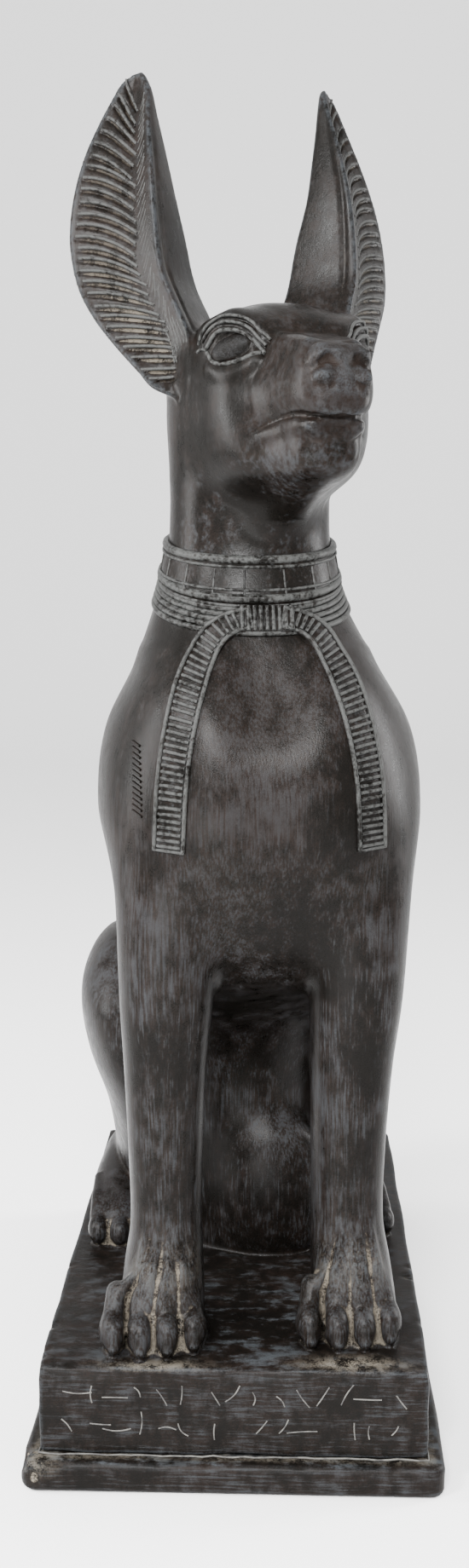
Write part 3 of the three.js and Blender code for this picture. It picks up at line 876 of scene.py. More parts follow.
class Nodes:
    """A node tree that is built node by node."""

    def __init__(self, tree: bpy.types.NodeTree) -> None:
        """Keeps the tree."""
        self.tree = tree

    def node(
        self, kind: str, settings: dict[str, Any] | None = None, sockets: dict[Any, Any] | None = None
    ) -> Any:
        """Adds a node.

        Args:
            kind: the node's type.
            settings: its own settings, set first.
            sockets: what each input gets, by name or number.

        Returns:
            The node.
        """
        node = self.tree.nodes.new(kind)
        for name, value in (settings or {}).items():
            setattr(node, name, value)
        for name, value in (sockets or {}).items():
            self.feed(node.inputs[name], value)
        return node

    def feed(self, socket: Socket, value: Any) -> None:
        """Links or sets one input.

        Args:
            socket: the input.
            value: a plain value, a Value or an output socket.
        """
        if isinstance(value, Value):
            value = value.socket
        if isinstance(value, Socket):
            self.tree.links.new(value, socket)
        else:
            socket.default_value = value

    def math(self, operation: str, *values: Any) -> Value:
        """The result of a Math node."""
        node = self.node("ShaderNodeMath", {"operation": operation}, dict(enumerate(values)))
        return Value(self, node.outputs[0])


class Tree(Nodes):
    """A Geometry Nodes tree that makes a piece out of lines or points."""

    def __init__(self, name: str, inputs: dict[str, tuple[str, Any]]) -> None:
        """Makes the tree with its named inputs.

        Args:
            name: the tree's name.
            inputs: for each input its socket type and first value.
        """
        super().__init__(bpy.data.node_groups.new(name, "GeometryNodeTree"))
        self.tree.interface.new_socket("Geometry", in_out="INPUT", socket_type="NodeSocketGeometry")
        for label, (kind, value) in inputs.items():
            socket = self.tree.interface.new_socket(label, in_out="INPUT", socket_type=kind)
            if value is not None:
                socket.default_value = value
        self.tree.interface.new_socket("Geometry", in_out="OUTPUT", socket_type="NodeSocketGeometry")
        self.source = self.tree.nodes.new("NodeGroupInput")
        self.result = self.tree.nodes.new("NodeGroupOutput")

    def rise(self, reach: float, low: float) -> Value:
        """A size along a curve.

        Args:
            reach: the share of the curve, from either end, after which it is 1.
            low: what it is at the ends.

        Returns:
            The size.
        """
        share = self.node("GeometryNodeSplineParameter").outputs["Factor"]
        level = self.math("PINGPONG", share, 0.5)
        sockets = {"Value": level, "From Max": reach, "To Min": low, "To Max": 1.0}
        return Value(self, self.node("ShaderNodeMapRange", sockets=sockets).outputs[0])

    def sweep(self, line: Any, size: Any, sides: Any, radius: Any) -> Socket:
        """Runs a round section along a line.

        Args:
            line: the curve.
            size: what the radius is multiplied by along it.
            sides: the section's number of sides.
            radius: its radius, in metres.

        Returns:
            The closed skin.
        """
        sized = self.node("GeometryNodeSetCurveRadius", sockets={0: line, "Radius": size})
        circle = {"Resolution": sides, "Radius": radius}
        section = self.node("GeometryNodeCurvePrimitiveCircle", sockets=circle)
        sockets = {0: sized.outputs[0], "Profile Curve": section.outputs[0], "Fill Caps": True}
        return self.node("GeometryNodeCurveToMesh", sockets=sockets).outputs[0]

    def finish(self, geometry: Socket) -> None:
        """Ends the tree: instances made real and the material set.

        Args:
            geometry: what the tree gives.
        """
        real = self.node("GeometryNodeRealizeInstances", sockets={0: geometry})
        smooth = self.node("GeometryNodeSetShadeSmooth", sockets={0: real.outputs[0]})
        sockets = {0: smooth.outputs[0], "Material": self.source.outputs["Material"]}
        dressed = self.node("GeometryNodeSetMaterial", sockets=sockets)
        self.tree.links.new(dressed.outputs[0], self.result.inputs[0])

    def grow(self, piece: Piece, values: dict[str, Any]) -> None:
        """Runs the tree on a piece and leaves its result as a plain mesh.

        Args:
            piece: the piece.
            values: a value for each of the tree's inputs.
        """
        modifier = piece.modifiers.new("grow", "NODES")
        modifier.node_group = self.tree
        inputs = {item.name: item for item in self.tree.interface.items_tree if item.in_out == "INPUT"}
        for label, value in values.items():
            modifier[inputs[label].identifier] = value
        settled_mesh(piece)


def bead_tree() -> Tree:
    """A tree that lays a round bead along a piece's edges, thinner towards the ends by its taper.

    Returns:
        The tree.
    """
    inputs = {
        "Radius": ("NodeSocketFloat", 0.001),
        "Sides": ("NodeSocketInt", 8),
        "Taper": ("NodeSocketFloat", 0.0),
        "Material": ("NodeSocketMaterial", None),
    }
    tree = Tree("bead_along_lines", inputs)
    given = tree.source.outputs
    line = tree.node("GeometryNodeMeshToCurve", sockets={0: given[0]})
    size = 1.0 - (1.0 - tree.rise(0.3, 0.0)) * given["Taper"]
    tree.finish(tree.sweep(line.outputs[0], size, given["Sides"], given["Radius"]))
    return tree


def rib_tree() -> Tree:
    """A tree that sets a rounded rib at each point, across the way its values give.

    Returns:
        The tree.
    """
    inputs = {
        "Length": ("NodeSocketFloat", 0.01),
        "Thickness": ("NodeSocketFloat", 0.001),
        "Material": ("NodeSocketMaterial", None),
    }
    tree = Tree("ribs_on_points", inputs)
    given = tree.source.outputs
    ends = []
    for share in (-0.5, 0.5):
        place = tree.math("MULTIPLY", given["Length"], share)
        ends.append(tree.node("ShaderNodeCombineXYZ", sockets={0: place}).outputs[0])
    line = tree.node("GeometryNodeCurvePrimitiveLine", sockets={"Start": ends[0], "End": ends[1]})
    finer = tree.node("GeometryNodeResampleCurve", sockets={0: line.outputs[0], "Count": 7})
    rib = tree.sweep(finer.outputs[0], tree.rise(0.17, 0.45), 6, given["Thickness"])
    vector = {"data_type": "FLOAT_VECTOR"}
    out, across, size = (
        tree.node("GeometryNodeInputNamedAttribute", vector, {"Name": name}).outputs[0]
        for name in ("out", "across", "size")
    )
    axes = {"primary_axis": "Z", "secondary_axis": "X"}
    turn = tree.node("FunctionNodeAxesToRotation", axes, {0: out, 1: across}).outputs[0]
    points = tree.node("GeometryNodeMeshToPoints", sockets={0: given[0]}).outputs[0]
    sockets = {0: points, "Instance": rib, "Rotation": turn, "Scale": size}
    tree.finish(tree.node("GeometryNodeInstanceOnPoints", sockets=sockets).outputs[0])
    return tree


@dataclass(frozen=True)
class Bead:
    """A round bead that a tree lays along lines, its radius in metres."""

    tree: Tree
    finish: Material
    radius: float
    sides: int = 6
    taper: float = 0.0

    def lay(self, name: str, lines: Iterable[Array], place: Array, closed: bool = False) -> Piece:
        """Makes a piece of beads.

        Args:
            name: the piece's name.
            lines: lines of points.
            place: their frame.
            closed: whether each line meets its own start.

        Returns:
            The piece.
        """
        points, edges = [], []
        for line in lines:
            start = len(points)
            points.extend(carried(place, line) / 1000)
            edges.extend((start + i, start + i + 1) for i in range(len(line) - 1))
            if closed:
                edges.append((start + len(line) - 1, start))
        mesh = bpy.data.meshes.new(name)
        mesh.from_pydata([tuple(point) for point in points], edges, [])
        piece = in_scene(name, mesh)
        values = {"Radius": self.radius, "Sides": self.sides, "Taper": self.taper}
        self.tree.grow(piece, values | {"Material": self.finish})
        return piece


@dataclass(frozen=True)
class Ribs:
    """Rounded ribs that a tree sets on points, their sizes in metres."""

    tree: Tree
    finish: Material
    length: float
    thickness: float

    def lay(self, name: str, rows: Sequence[Array], place: Array) -> Piece:
        """Makes a piece of ribs.

        Args:
            name: the piece's name.
            rows: for the ribs their points, the ways out of the skin and across, and how they are stretched.
            place: their frame.

        Returns:
            The piece.
        """
        points, out, across, size = rows
        mesh = bpy.data.meshes.new(name)
        mesh.from_pydata([tuple(point) for point in carried(place, points) / 1000], [], [])
        turn = place[:3, :3]
        for label, values in (("out", out @ turn.T), ("across", across @ turn.T), ("size", size)):
            attribute = mesh.attributes.new(label, "FLOAT_VECTOR", "POINT")
            attribute.data.foreach_set("vector", np.ascontiguousarray(values, np.float32).ravel())
        piece = in_scene(name, mesh)
        values = {"Length": self.length, "Thickness": self.thickness, "Material": self.finish}
        self.tree.grow(piece, values)
        return piece


@dataclass(frozen=True)
class Trim:
    """What the fine carving is made with: the two trees and its finishes."""

    bead: Tree
    rib: Tree
    rubbed: Material
    ground: Material
    plain: Material
    pale: Material


# Finishes.


class Shader(Nodes):
    """A material's node tree."""

    def __init__(self, name: str) -> None:
        """Makes the material with its surface shader.

        Args:
            name: the material's name.
        """
        self.material = bpy.data.materials.new(name)
        self.material.use_nodes = True
        super().__init__(self.material.node_tree)
        self.tree.nodes.clear()
        output = self.tree.nodes.new("ShaderNodeOutputMaterial")
        self.surface = self.tree.nodes.new("ShaderNodeBsdfPrincipled")
        self.tree.links.new(self.surface.outputs[0], output.inputs[0])
        self.place = self.node("ShaderNodeTexCoord").outputs["Object"]

    def noise(self, scale: Sequence[float], shift: float, detail: float = 4.0, rough: float = 0.55) -> Value:
        """Soft noise from 0 to 1 on object coordinates.

        Args:
            scale: patches a metre along x, y and z.
            shift: moves the pattern, so that two differ.
            detail: how many finer layers it has.
            rough: how strong those are.

        Returns:
            The noise.
        """
        move = {"Vector": self.place, "Location": (shift, shift * 0.7, shift * 1.3), "Scale": tuple(scale)}
        place = self.node("ShaderNodeMapping", {}, move).outputs[0]
        look = {"Vector": place, "Scale": 1.0, "Detail": detail, "Roughness": rough}
        return Value(self, self.node("ShaderNodeTexNoise", {}, look).outputs[0])

    def reading(self, name: str) -> Value:
        """One of the piece's own numbers for each point."""
        node = self.node("ShaderNodeAttribute", {"attribute_name": name, "attribute_type": "GEOMETRY"})
        return Value(self, node.outputs["Fac"])

    def blend(self, mask: Any, under: Any, over: Any) -> Socket:
        """One colour over another by a mask."""
        sockets = {0: mask, 6: under, 7: over}
        return self.node("ShaderNodeMix", {"data_type": "RGBA", "blend_type": "MIX"}, sockets).outputs[2]

    def bump(self, height: Value, distance: float) -> None:
        """Feeds the surface's normal from a height, in metres."""
        node = self.node("ShaderNodeBump", {}, {"Height": height, "Distance": distance, "Strength": 1.0})
        self.tree.links.new(node.outputs[0], self.surface.inputs["Normal"])


def tone(red: float, green: float, blue: float) -> tuple[float, float, float, float]:
    """A colour from its linear parts."""
    return (red, green, blue, 1.0)


@dataclass(frozen=True)
class CastFinish:
    """Dark waxed casting: near black, mottled warm, rubbed grey, with pale filler left in the recesses. The
    grey rub and grain are partly wear and partly a painted highlight, under the jaw, on the eyeballs and
    along the slab's ledge.
    """

    name: str = "dark_cast"
    base: tuple[float, ...] = tone(0.0022, 0.0019, 0.0016)
    warm: tuple[float, ...] = tone(0.0070, 0.0046, 0.0036)
    cool: tuple[float, ...] = tone(0.019, 0.021, 0.023)
    pale: tuple[float, ...] = tone(0.12, 0.106, 0.084)
    roughness: float = 0.32
    brush: tuple[float, float, float] = (900.0, 900.0, 45.0)
    cool_from: float = 0.54
    rub: float = 0.1
    specular: float = 0.05

    def make(self) -> Material:
        """Builds the material.

        Returns:
            The material.
        """
        shader = Shader(self.name)
        clouds = shader.noise((14, 14, 10), 1.7)
        patches = shader.noise((110, 110, 70), 5.1, 5.0, 0.65)
        brush = shader.noise(self.brush, 3.3, 4.0, 0.6)
        fine = shader.noise((1100, 1100, 1100), 9.2, 3.0, 0.6)
        recess, filled, wear, leather, smear = (
            shader.reading(name) for name in ("recess", "filled", "wear", "leather", "smear")
        )
        warm = (clouds * 0.4 + patches * 0.35 + fine * 0.25).step(0.42, 0.60)
        colour = shader.blend(warm * 0.85, self.base, self.warm)
        streaks = brush * 0.4 + patches * 0.28 + clouds * 0.32
        streaks = streaks.step(self.cool_from - 0.07, self.cool_from + 0.07)
        # Grey rub by the wear reading: mostly wear, and under the jaw and along the slab's ledge also a
        # painted highlight.
        rubs = streaks * (wear + self.rub) * (0.2 + fine * 1.1)
        # Grey grain on the nose and the eyes. On the eyeballs it is partly texture and partly a painted
        # highlight.
        grains = leather * (patches * 0.4 + fine * 0.6).step(0.44, 0.62) * 0.34
        cool = (rubs + grains).held() * (recess * -1.0).step(-0.45, -0.1)
        colour = shader.blend(cool, colour, self.cool)
        grain = (patches * 0.6 + fine * 0.4).step(0.42, 0.58)
        pale = (recess.step(0.22, 0.5) * filled + smear) * grain
        colour = shader.blend((pale * 0.85).held(), colour, self.pale)
        worn = (recess * -1.0).step(0.3, 0.9) * (brush * 0.5 + fine * 0.5).step(0.38, 0.6)
        colour = shader.blend((worn * 0.7).held(), colour, self.cool)
        shader.feed(shader.surface.inputs["Base Color"], colour)
        rough = self.roughness + (patches - 0.5) * 0.3 + cool * 0.2 + pale * 0.3
        rough = rough + (fine - 0.5) * 0.2 + leather * 0.15
        shader.feed(shader.surface.inputs["Roughness"], rough.held())
        shader.surface.inputs["Specular IOR Level"].default_value = self.specular
        shader.bump(fine * (0.25 + leather) + brush * 0.35 + patches * 0.4, 0.0003)
        return shader.material


@dataclass(frozen=True)
class ScratchFinish:
    """Pale, chalky marks and filler."""

    name: str = "pale_scratch"
    colour: tuple[float, ...] = tone(0.055, 0.053, 0.047)
    dark: tuple[float, ...] = tone(0.011, 0.010, 0.009)

    def make(self) -> Material:
        """Builds the material.

        Returns:
            The material.
        """
        shader = Shader(self.name)
        patches = shader.noise((140, 140, 140), 2.2, 4.0, 0.6)
        colour = shader.blend(patches.step(0.35, 0.6), self.dark, self.colour)
        shader.feed(shader.surface.inputs["Base Color"], colour)
        shader.feed(shader.surface.inputs["Roughness"], 0.55 + patches * 0.3)
        return shader.material


@dataclass(frozen=True)
class FloorFinish:
    """Plain pale floor."""

    name: str = "pale_floor"

    def make(self) -> Material:
        """Builds the material.

        Returns:
            The material.
        """
        shader = Shader(self.name)
        shader.surface.inputs["Base Color"].default_value = tone(0.78, 0.78, 0.78)
        shader.surface.inputs["Roughness"].default_value = 0.8
        return shader.material


# The figure.


# Rows of sections, in figure units, with each size from the middle to the skin.
# Height, sideways middle, front, back, half the width.
TORSO = [
    [-0.5, 0.0, -4.4, 21.8, 7.6],
    [7.9, 0.0, -5.0, 22.5, 8.6],
    [15.9, 0.0, -4.8, 21.1, 9.8],
    [21.8, 0.1, -7.2, 19.6, 10.7],
    [25.0, 0.3, -11.6, 18.2, 11.1],
    [27.6, 0.5, -16.2, 17.0, 11.1],
    [30.6, 0.7, -19.0, 15.2, 11.2],
    [34.0, 0.8, -20.6, 13.0, 11.5],
    [37.5, 0.7, -21.8, 10.6, 12.5],
    [41.9, 0.6, -22.5, 7.7, 13.2],
    [48.6, 0.6, -21.2, 2.8, 12.2],
    [53.3, 0.4, -19.6, 0.4, 9.9],
    [58.8, -0.1, -17.1, -2.3, 7.5],
    [62.6, -0.1, -16.1, -3.4, 6.6],
    [66.1, -0.1, -16.1, -4.0, 6.4],
    [70.0, 0.0, -16.1, -4.2, 6.5],
    [74.0, 0.3, -15.5, -4.0, 5.9],
]
# Height, middle between the legs, distance from it, backward place, and the sizes sideways and backward.
FORELEG = [
    [-0.5, 0.0, 7.8, -18.6, 3.4, 4.4],
    [2.0, 0.0, 7.8, -18.2, 3.4, 4.3],
    [5.3, 0.0, 7.6, -17.4, 3.2, 3.9],
    [8.6, 0.0, 7.4, -16.9, 2.9, 3.3],
    [14.5, 0.0, 7.4, -16.9, 3.0, 3.3],
    [21.5, 0.1, 7.5, -17.0, 3.3, 3.5],
    [27.0, 0.3, 7.6, -17.0, 3.7, 4.0],
    [34.3, 0.5, 7.6, -16.0, 4.1, 4.9],
    [42.3, 0.7, 7.9, -12.8, 4.1, 5.6],
    [48.0, 0.6, 7.6, -10.6, 3.6, 5.4],
    [53.0, 0.4, 5.8, -9.6, 2.0, 3.4],
]
# Height, distance to the side, backward place, and the sizes sideways and backward.
THIGH = [
    [-0.5, 8.4, 10.8, 2.6, 7.4],
    [6.6, 8.5, 9.5, 3.0, 8.7],
    [11.9, 8.8, 7.3, 3.5, 10.0],
    [17.2, 9.4, 5.3, 4.5, 10.3],
    [21.8, 9.5, 4.2, 5.0, 9.4],
    [25.1, 9.3, 4.6, 4.5, 7.4],
    [27.6, 9.0, 5.4, 3.0, 4.4],
    [28.4, 8.8, 5.6, 1.1, 1.6],
]
# Backward place, distance to the side, height, and the sizes sideways and upward.
HIND_FOOT = [
    [-2.6, 11.2, 0.9, 1.0, 1.0],
    [-1.5, 11.2, 1.3, 2.2, 1.9],
    [2.0, 11.1, 1.7, 2.7, 2.6],
    [6.0, 10.9, 2.0, 2.7, 2.9],
    [10.5, 10.3, 2.2, 2.6, 3.1],
    [14.5, 9.8, 2.3, 2.2, 2.9],
    [16.0, 9.6, 2.2, 1.0, 1.4],
]
# Sideways and backward place, height and radius.
TAIL = [
    [0, 19.5, 9.5, 1.2],
    [0, 22.4, 5.6, 1.5],
    [1.2, 23.4, 2.4, 1.6],
    [4.2, 23.2, 1.2, 1.6],
    [8.0, 22.0, 1.1, 1.5],
    [11.4, 19.6, 1.0, 1.3],
    [13.2, 16.6, 0.8, 0.7],
]
# Backward place, sideways place, height, and the sizes sideways and upward, in the head's frame.
SKULL = [
    [-9.3, 0, -1.6, 1.6, 2.0],
    [-8.8, 0, -1.4, 3.7, 3.7],
    [-7.4, 0, -1.2, 5.3, 5.0],
    [-5.5, 0, -1.3, 6.3, 5.9],
    [-3.3, 0, -1.6, 6.8, 6.6],
    [0.0, 0, -1.4, 7.2, 6.7],
    [2.6, 0, -1.0, 7.1, 6.2],
    [5.3, 0, -0.7, 6.2, 5.4],
    [7.4, 0, -0.5, 3.9, 3.6],
    [8.2, 0, -0.4, 1.0, 1.2],
]
MUZZLE = [
    [-16.1, 0, -3.7, 0.7, 0.8],
    [-15.7, 0, -3.7, 1.9, 2.0],
    [-14.9, 0, -3.6, 2.6, 2.6],
    [-14.0, 0, -3.4, 2.8, 3.0],
    [-12.6, 0, -3.0, 2.9, 3.2],
    [-10.6, 0, -2.6, 3.2, 3.3],
    [-9.0, 0, -2.3, 3.7, 3.5],
    [-7.0, 0, -2.2, 4.5, 4.0],
    [-3.0, 0, -2.2, 4.7, 4.6],
]
JAW = [
    [-13.7, 0, -6.9, 1.0, 1.3],
    [-13.3, 0, -6.9, 2.0, 2.2],
    [-12.4, 0, -6.8, 2.6, 2.9],
    [-11.1, 0, -6.5, 3.0, 3.3],
    [-9.5, 0, -6.0, 3.7, 3.6],
    [-6.5, 0, -5.6, 4.7, 3.7],
    [-3.0, 0, -5.2, 5.3, 3.9],
    [0.0, 0, -4.8, 5.3, 3.6],
    [1.6, 0, -4.6, 3.8, 2.6],
]
# Lines round the eye, as places in its own plane: towards the muzzle, and up.
LIDS = [
    [
        (-2.75, 0.3), (-2.15, 0.7), (-1.6, 1.07), (-0.83, 1.28),
        (0.4, 1.08), (1.39, 0.55), (2.11, -0.27), (2.6, -0.95),
    ],
    [
        (-2.62, 0.1), (-2.42, -0.16), (-2.07, -0.69), (-1.18, -1.1),
        (0.02, -1.2), (0.93, -1.12), (1.54, -0.92), (2.3, -0.8),
    ],
]
ARCS = [
    [
        (-3.5, 0.9), (-2.53, 1.96), (-1.54, 2.3), (-0.4, 2.36),
        (0.72, 2.1), (1.67, 1.5), (2.24, 0.8), (2.95, 0.05),
    ],
    [
        (-3.0, 0.9), (-2.1, 1.6), (-1.33, 1.82), (-0.28, 1.84),
        (0.77, 1.54), (1.57, 1.0), (2.06, 0.37), (2.65, -0.35),
    ],
    [(-4.0, 0.5), (-3.4, 0.48), (-2.8, 0.4)],
]
POUCH = [(-2.4, -1.2), (-1.1, -1.9), (0.4, -2.0), (1.9, -1.4)]


def torso_form() -> Rows:
    """The body and neck as one form."""
    rows = [[up, x, (front + back) / 2, half, (back - front) / 2] for up, x, front, back, half in TORSO]
    return Rows(rows, Axis.UP)


def in_units(*points: Sequence[float]) -> Array:
    """Points given in figure units, in millimetres."""
    return np.array(points, float) * UNIT


def collar_plane(split: float, tilt: float, way: int) -> Beyond:
    """The plane where body and head part: way 1 keeps what is below it, and -1 what is above."""
    return Beyond((0, NECK * UNIT, split * UNIT), (0, -tilt * way, way))


@dataclass
class Body:
    """The body below the collar: chest, legs, paws, haunches and tail."""

    pose: Pose
    step: float
    triangles: int = 196000
    split: float = 60.6
    tilt: float = 0.22
    low: tuple[float, ...] = (-116.0, -188.0, -5.0)
    high: tuple[float, ...] = (118.0, 193.0, 500.0)
    leg_apart: float = 7.8
    paw_shift: float = -0.85
    toes: tuple[float, ...] = (-3.15, -1.05, 1.05, 3.15)
    toe_gaps: tuple[float, ...] = (-2.1, 0.0, 2.1)
    toe_lean: float = -0.24
    before: float = -29.0
    reach: float = 90.0
    hind_apart: float = 11.2
    hind_toes: tuple[float, ...] = (-1.9, 0.0, 1.9)
    hind_gaps: tuple[float, ...] = (-0.95, 0.95)

    def __post_init__(self) -> None:
        """Makes the empty block of clay."""
        self.clay = Clay(self.low, self.high, self.step)

    def model(self) -> None:
        """Models the body in the figure's frame."""
        self.clay.add(torso_form())
        for side in (-1, 1):
            self.haunch(side)
            self.foreleg(side)
        self.rump_and_tail()
        self.chest()
        for side in (-1, 1):
            self.paw(side)
            self.hind_paw(side)
        self.foot_fillets()
        self.clay.keep(collar_plane(self.split, self.tilt, 1))

    def haunch(self, side: int) -> None:
        """Adds a thigh and the hind foot under it.

        Args:
            side: -1 for its right.
        """
        lean = 0.1 if side > 0 else 0.0
        rows = [[height, side * x + lean * (17 - height), *rest] for height, x, *rest in THIGH]
        self.clay.add(Rows(rows, Axis.UP), 7.0)
        foot = [[y, side * x, *rest] for y, x, *rest in HIND_FOOT]
        self.clay.add(Rows(foot, Axis.BACK, 2.3), 4.0)

    def foreleg(self, side: int) -> None:
        """Adds a foreleg with its elbow.

        Args:
            side: -1 for its right.
        """
        rows = [[height, middle + side * apart, *rest] for height, middle, apart, *rest in FORELEG]
        self.clay.add(Rows(rows, Axis.UP, 2.3), 20.0)
        elbow = in_units((side * 7.6, -12.6, 27.5), (side * 7.6, -12.9, 24.0), (side * 7.6, -13.5, 20.0))
        self.clay.add(Roll(elbow, (5.0, 6.5, 4.0)), 12.0)

    def chest(self) -> None:
        """Adds the breast's two soft swells and the hollow above them."""
        for side in (-1, 1):
            self.clay.add(Ball(in_units((0.6 + side * 4.6, -16.8, 43.5))[0], (32, 36, 64)), 44.0)
        self.clay.cut(Ball(in_units((0.6, -26.9, 54.2))[0], (18, 44, 34)), 34.0)

    def rump_and_tail(self) -> None:
        """Adds the tail, the spine's swell and the belly with the hollow beside it."""
        self.clay.add(Roll(in_units(*[row[:3] for row in TAIL]), [UNIT * row[3] for row in TAIL]), 6.0)
        spine = in_units((0.2, -3.4, 60), (0.4, 1.2, 51), (0.6, 7.6, 41), (0.5, 14.6, 30), (0.2, 19.6, 19))
        self.clay.add(Roll(spine, (4, 7, 9, 9, 6)), 22.0)
        self.clay.add(Ball(in_units((3.4, -4.4, 5.5))[0], (38, 18, 46)), 22.0)
        self.clay.cut(Ball(in_units((-5.4, -7.2, 5.0))[0], (22, 16, 52)), 22.0)

    def paw(self, side: int) -> None:
        """Adds a forepaw's four toes with their knuckles, sinews and the grooves between them.

        Args:
            side: -1 for its right.
        """
        foot, leg = side * self.leg_apart + self.paw_shift, side * self.leg_apart - 0.1
        for offset in self.toes:
            x, back, lean = foot + offset, 0.3 * abs(offset), self.toe_lean * offset
            self.clay.add(Ball(in_units((x, -22.3 + back, 1.5))[0], (8.5, 12.6, 12.2)), 1.2)
            bone = in_units((x, -21.9 + back, 2.2), (x + 0.5 * lean, -20.7 + back, 3.9))
            self.clay.add(Roll(bone, (6.4, 6.8)), 1.6)
            self.clay.add(Ball(in_units((x, -23.55 + back, 0.7))[0], (4.2, 4.6, 4.4)), 1.5)
        for offset in self.toes:
            knuckle = in_units((foot + 0.9 * offset, -20.7 + 0.3 * abs(offset), 3.6))
            rows = ((0.5, 5.8), (0.42, 7.4), (0.34, 9.4))
            rise = in_units(*((leg + share * offset, self.before, z) for share, z in rows))
            sinew = np.vstack([knuckle, self.clay.settle(rise, INWARD, self.reach) + (0, 1.6, 0)])
            self.clay.add(Roll(sinew, (5.0, 3.6, 3.0, 1.4)), 2.0)
        for offset in self.toe_gaps:
            x, lean = foot + offset, self.toe_lean * offset + (0.5 if side < 0 else 0.15)
            rows = ((0.0, 0.5), (0.0, 1.7), (0.0, 3.0), (0.4, 4.4), (1.1, 6.2), (1.9, 8.4))
            groove = in_units(*((x + share * lean, self.before, z) for share, z in rows))
            groove = self.clay.settle(groove, INWARD, self.reach)
            self.clay.cut(Roll(groove, (1.7, 1.5, 1.5, 1.6, 1.5, 0.6)), 1.6)

    def hind_paw(self, side: int) -> None:
        """Adds a hind paw's toes.

        Args:
            side: -1 for its right.
        """
        for offset in self.hind_toes:
            x, back = side * self.hind_apart + offset, 0.28 * abs(offset)
            self.clay.add(Ball(in_units((x, -2.3 + back, 1.3))[0], (7.4, 10.5, 9.8)), 1.4)
            bone = in_units((x, -1.4 + back, 2.1), (x, 1.2, 3.2), (x, 4.4, 3.8))
            self.clay.add(Roll(bone, (6.2, 5.0, 3.0)), 2.0)
        for offset in self.hind_gaps:
            x = side * self.hind_apart + offset
            groove = in_units((x, -3.6, 0.4), (x, -3.0, 2.2), (x, -0.8, 3.7), (x, 2.6, 4.5))
            self.clay.cut(Roll(groove, (1.9, 1.8, 1.6, 0.8)), 1.8)

    def foot_fillets(self) -> None:
        """Runs the feet out into the block's top in small fillets."""
        window = (slice(None), slice(None), slice(0, int(20 / self.step)))
        near = self.clay.field[window]
        height = self.clay.axes[2][window[2]][None, None, :]
        plate = np.maximum(height + 0.7, near - 5.0)
        joined = soft_low(near, plate, 4.0)
        self.clay.field[window] = np.maximum(joined, -3.0 - height)
        self.clay.keep(Beyond((0, 0, -3.2), (0, 0, -1)))

    def build(self, finish: Material) -> Piece:
        """Models the body, meshes it and dresses it.

        Args:
            finish: its material.

        Returns:
            The piece.
        """
        def marks(points: Array) -> dict[str, Array]:
            """Filler lies between the toes, and the legs are rubbed most.

            Args:
                points: points of its skin.

            Returns:
                Shares by name.
            """
            x, y, z = points.T
            front = step_up(-y, 118, 130)
            hind = step_up(np.abs(x), 62, 70) * step_up(12 - y, 0, 8)
            low = 1 - step_up(z, 50, 85)
            legs = 1 - step_up(z, 190, 330)
            sinews = np.exp(-(((z - 46) / 14) ** 2)) * step_up(-y, 140, 150)
            filled = 0.55 * low * np.maximum(front, hind)
            wear = 0.3 + 0.4 * legs + 0.3 * sinews
            return {"filled": filled, "wear": wear, "smear": 0.1 * sinews, "edges": step_up(z, 2, 6)}

        self.model()
        return cast_piece("jackal_body", self.clay, self.pose.figure(), self.triangles, finish, marks)


def cast_piece(
    name: str,
    clay: Clay,
    place: Array,
    triangles: int,
    finish: Material,
    marks: Callable[[Array], dict[str, Array]],
) -> Piece:
    """Meshes a modelled form as a piece of the casting.

    Args:
        name: the piece's name.
        clay: the modelled form.
        place: its frame in the part's frame.
        triangles: the most triangles it may have.
        finish: its material.
        marks: gives, at points of the form's frame, shares from 0 to 1 of what its finish varies with.

    Returns:
        The piece.
    """
    points, faces = clay.skin()
    piece = mesh_of(name, points, faces)
    thinned(piece, triangles)
    flat = np.empty(len(piece.data.vertices) * 3, np.float32)
    piece.data.vertices.foreach_get("co", flat)
    points = flat.reshape(-1, 3).astype(np.float64) * 1000
    values = marks(points)
    recess = clay.hollows(points, 3.0)
    values["recess"] = np.maximum(recess, recess * values.pop("edges", 1.0))
    for label, numbers in values.items():
        attribute = piece.data.attributes.new(label, "FLOAT", "POINT")
        attribute.data.foreach_set("value", numbers.astype(np.float32))
    placed = carried(place, points) / 1000
    piece.data.vertices.foreach_set("co", placed.astype(np.float32).ravel())
    piece.data.update()
    piece.data.materials.append(finish)
    return piece


def tapered(radius: float, count: int, end: float) -> Array:
    """Radii along a groove that runs out towards both its ends."""
    return radius * np.sin(np.linspace(end, math.pi - end, count))


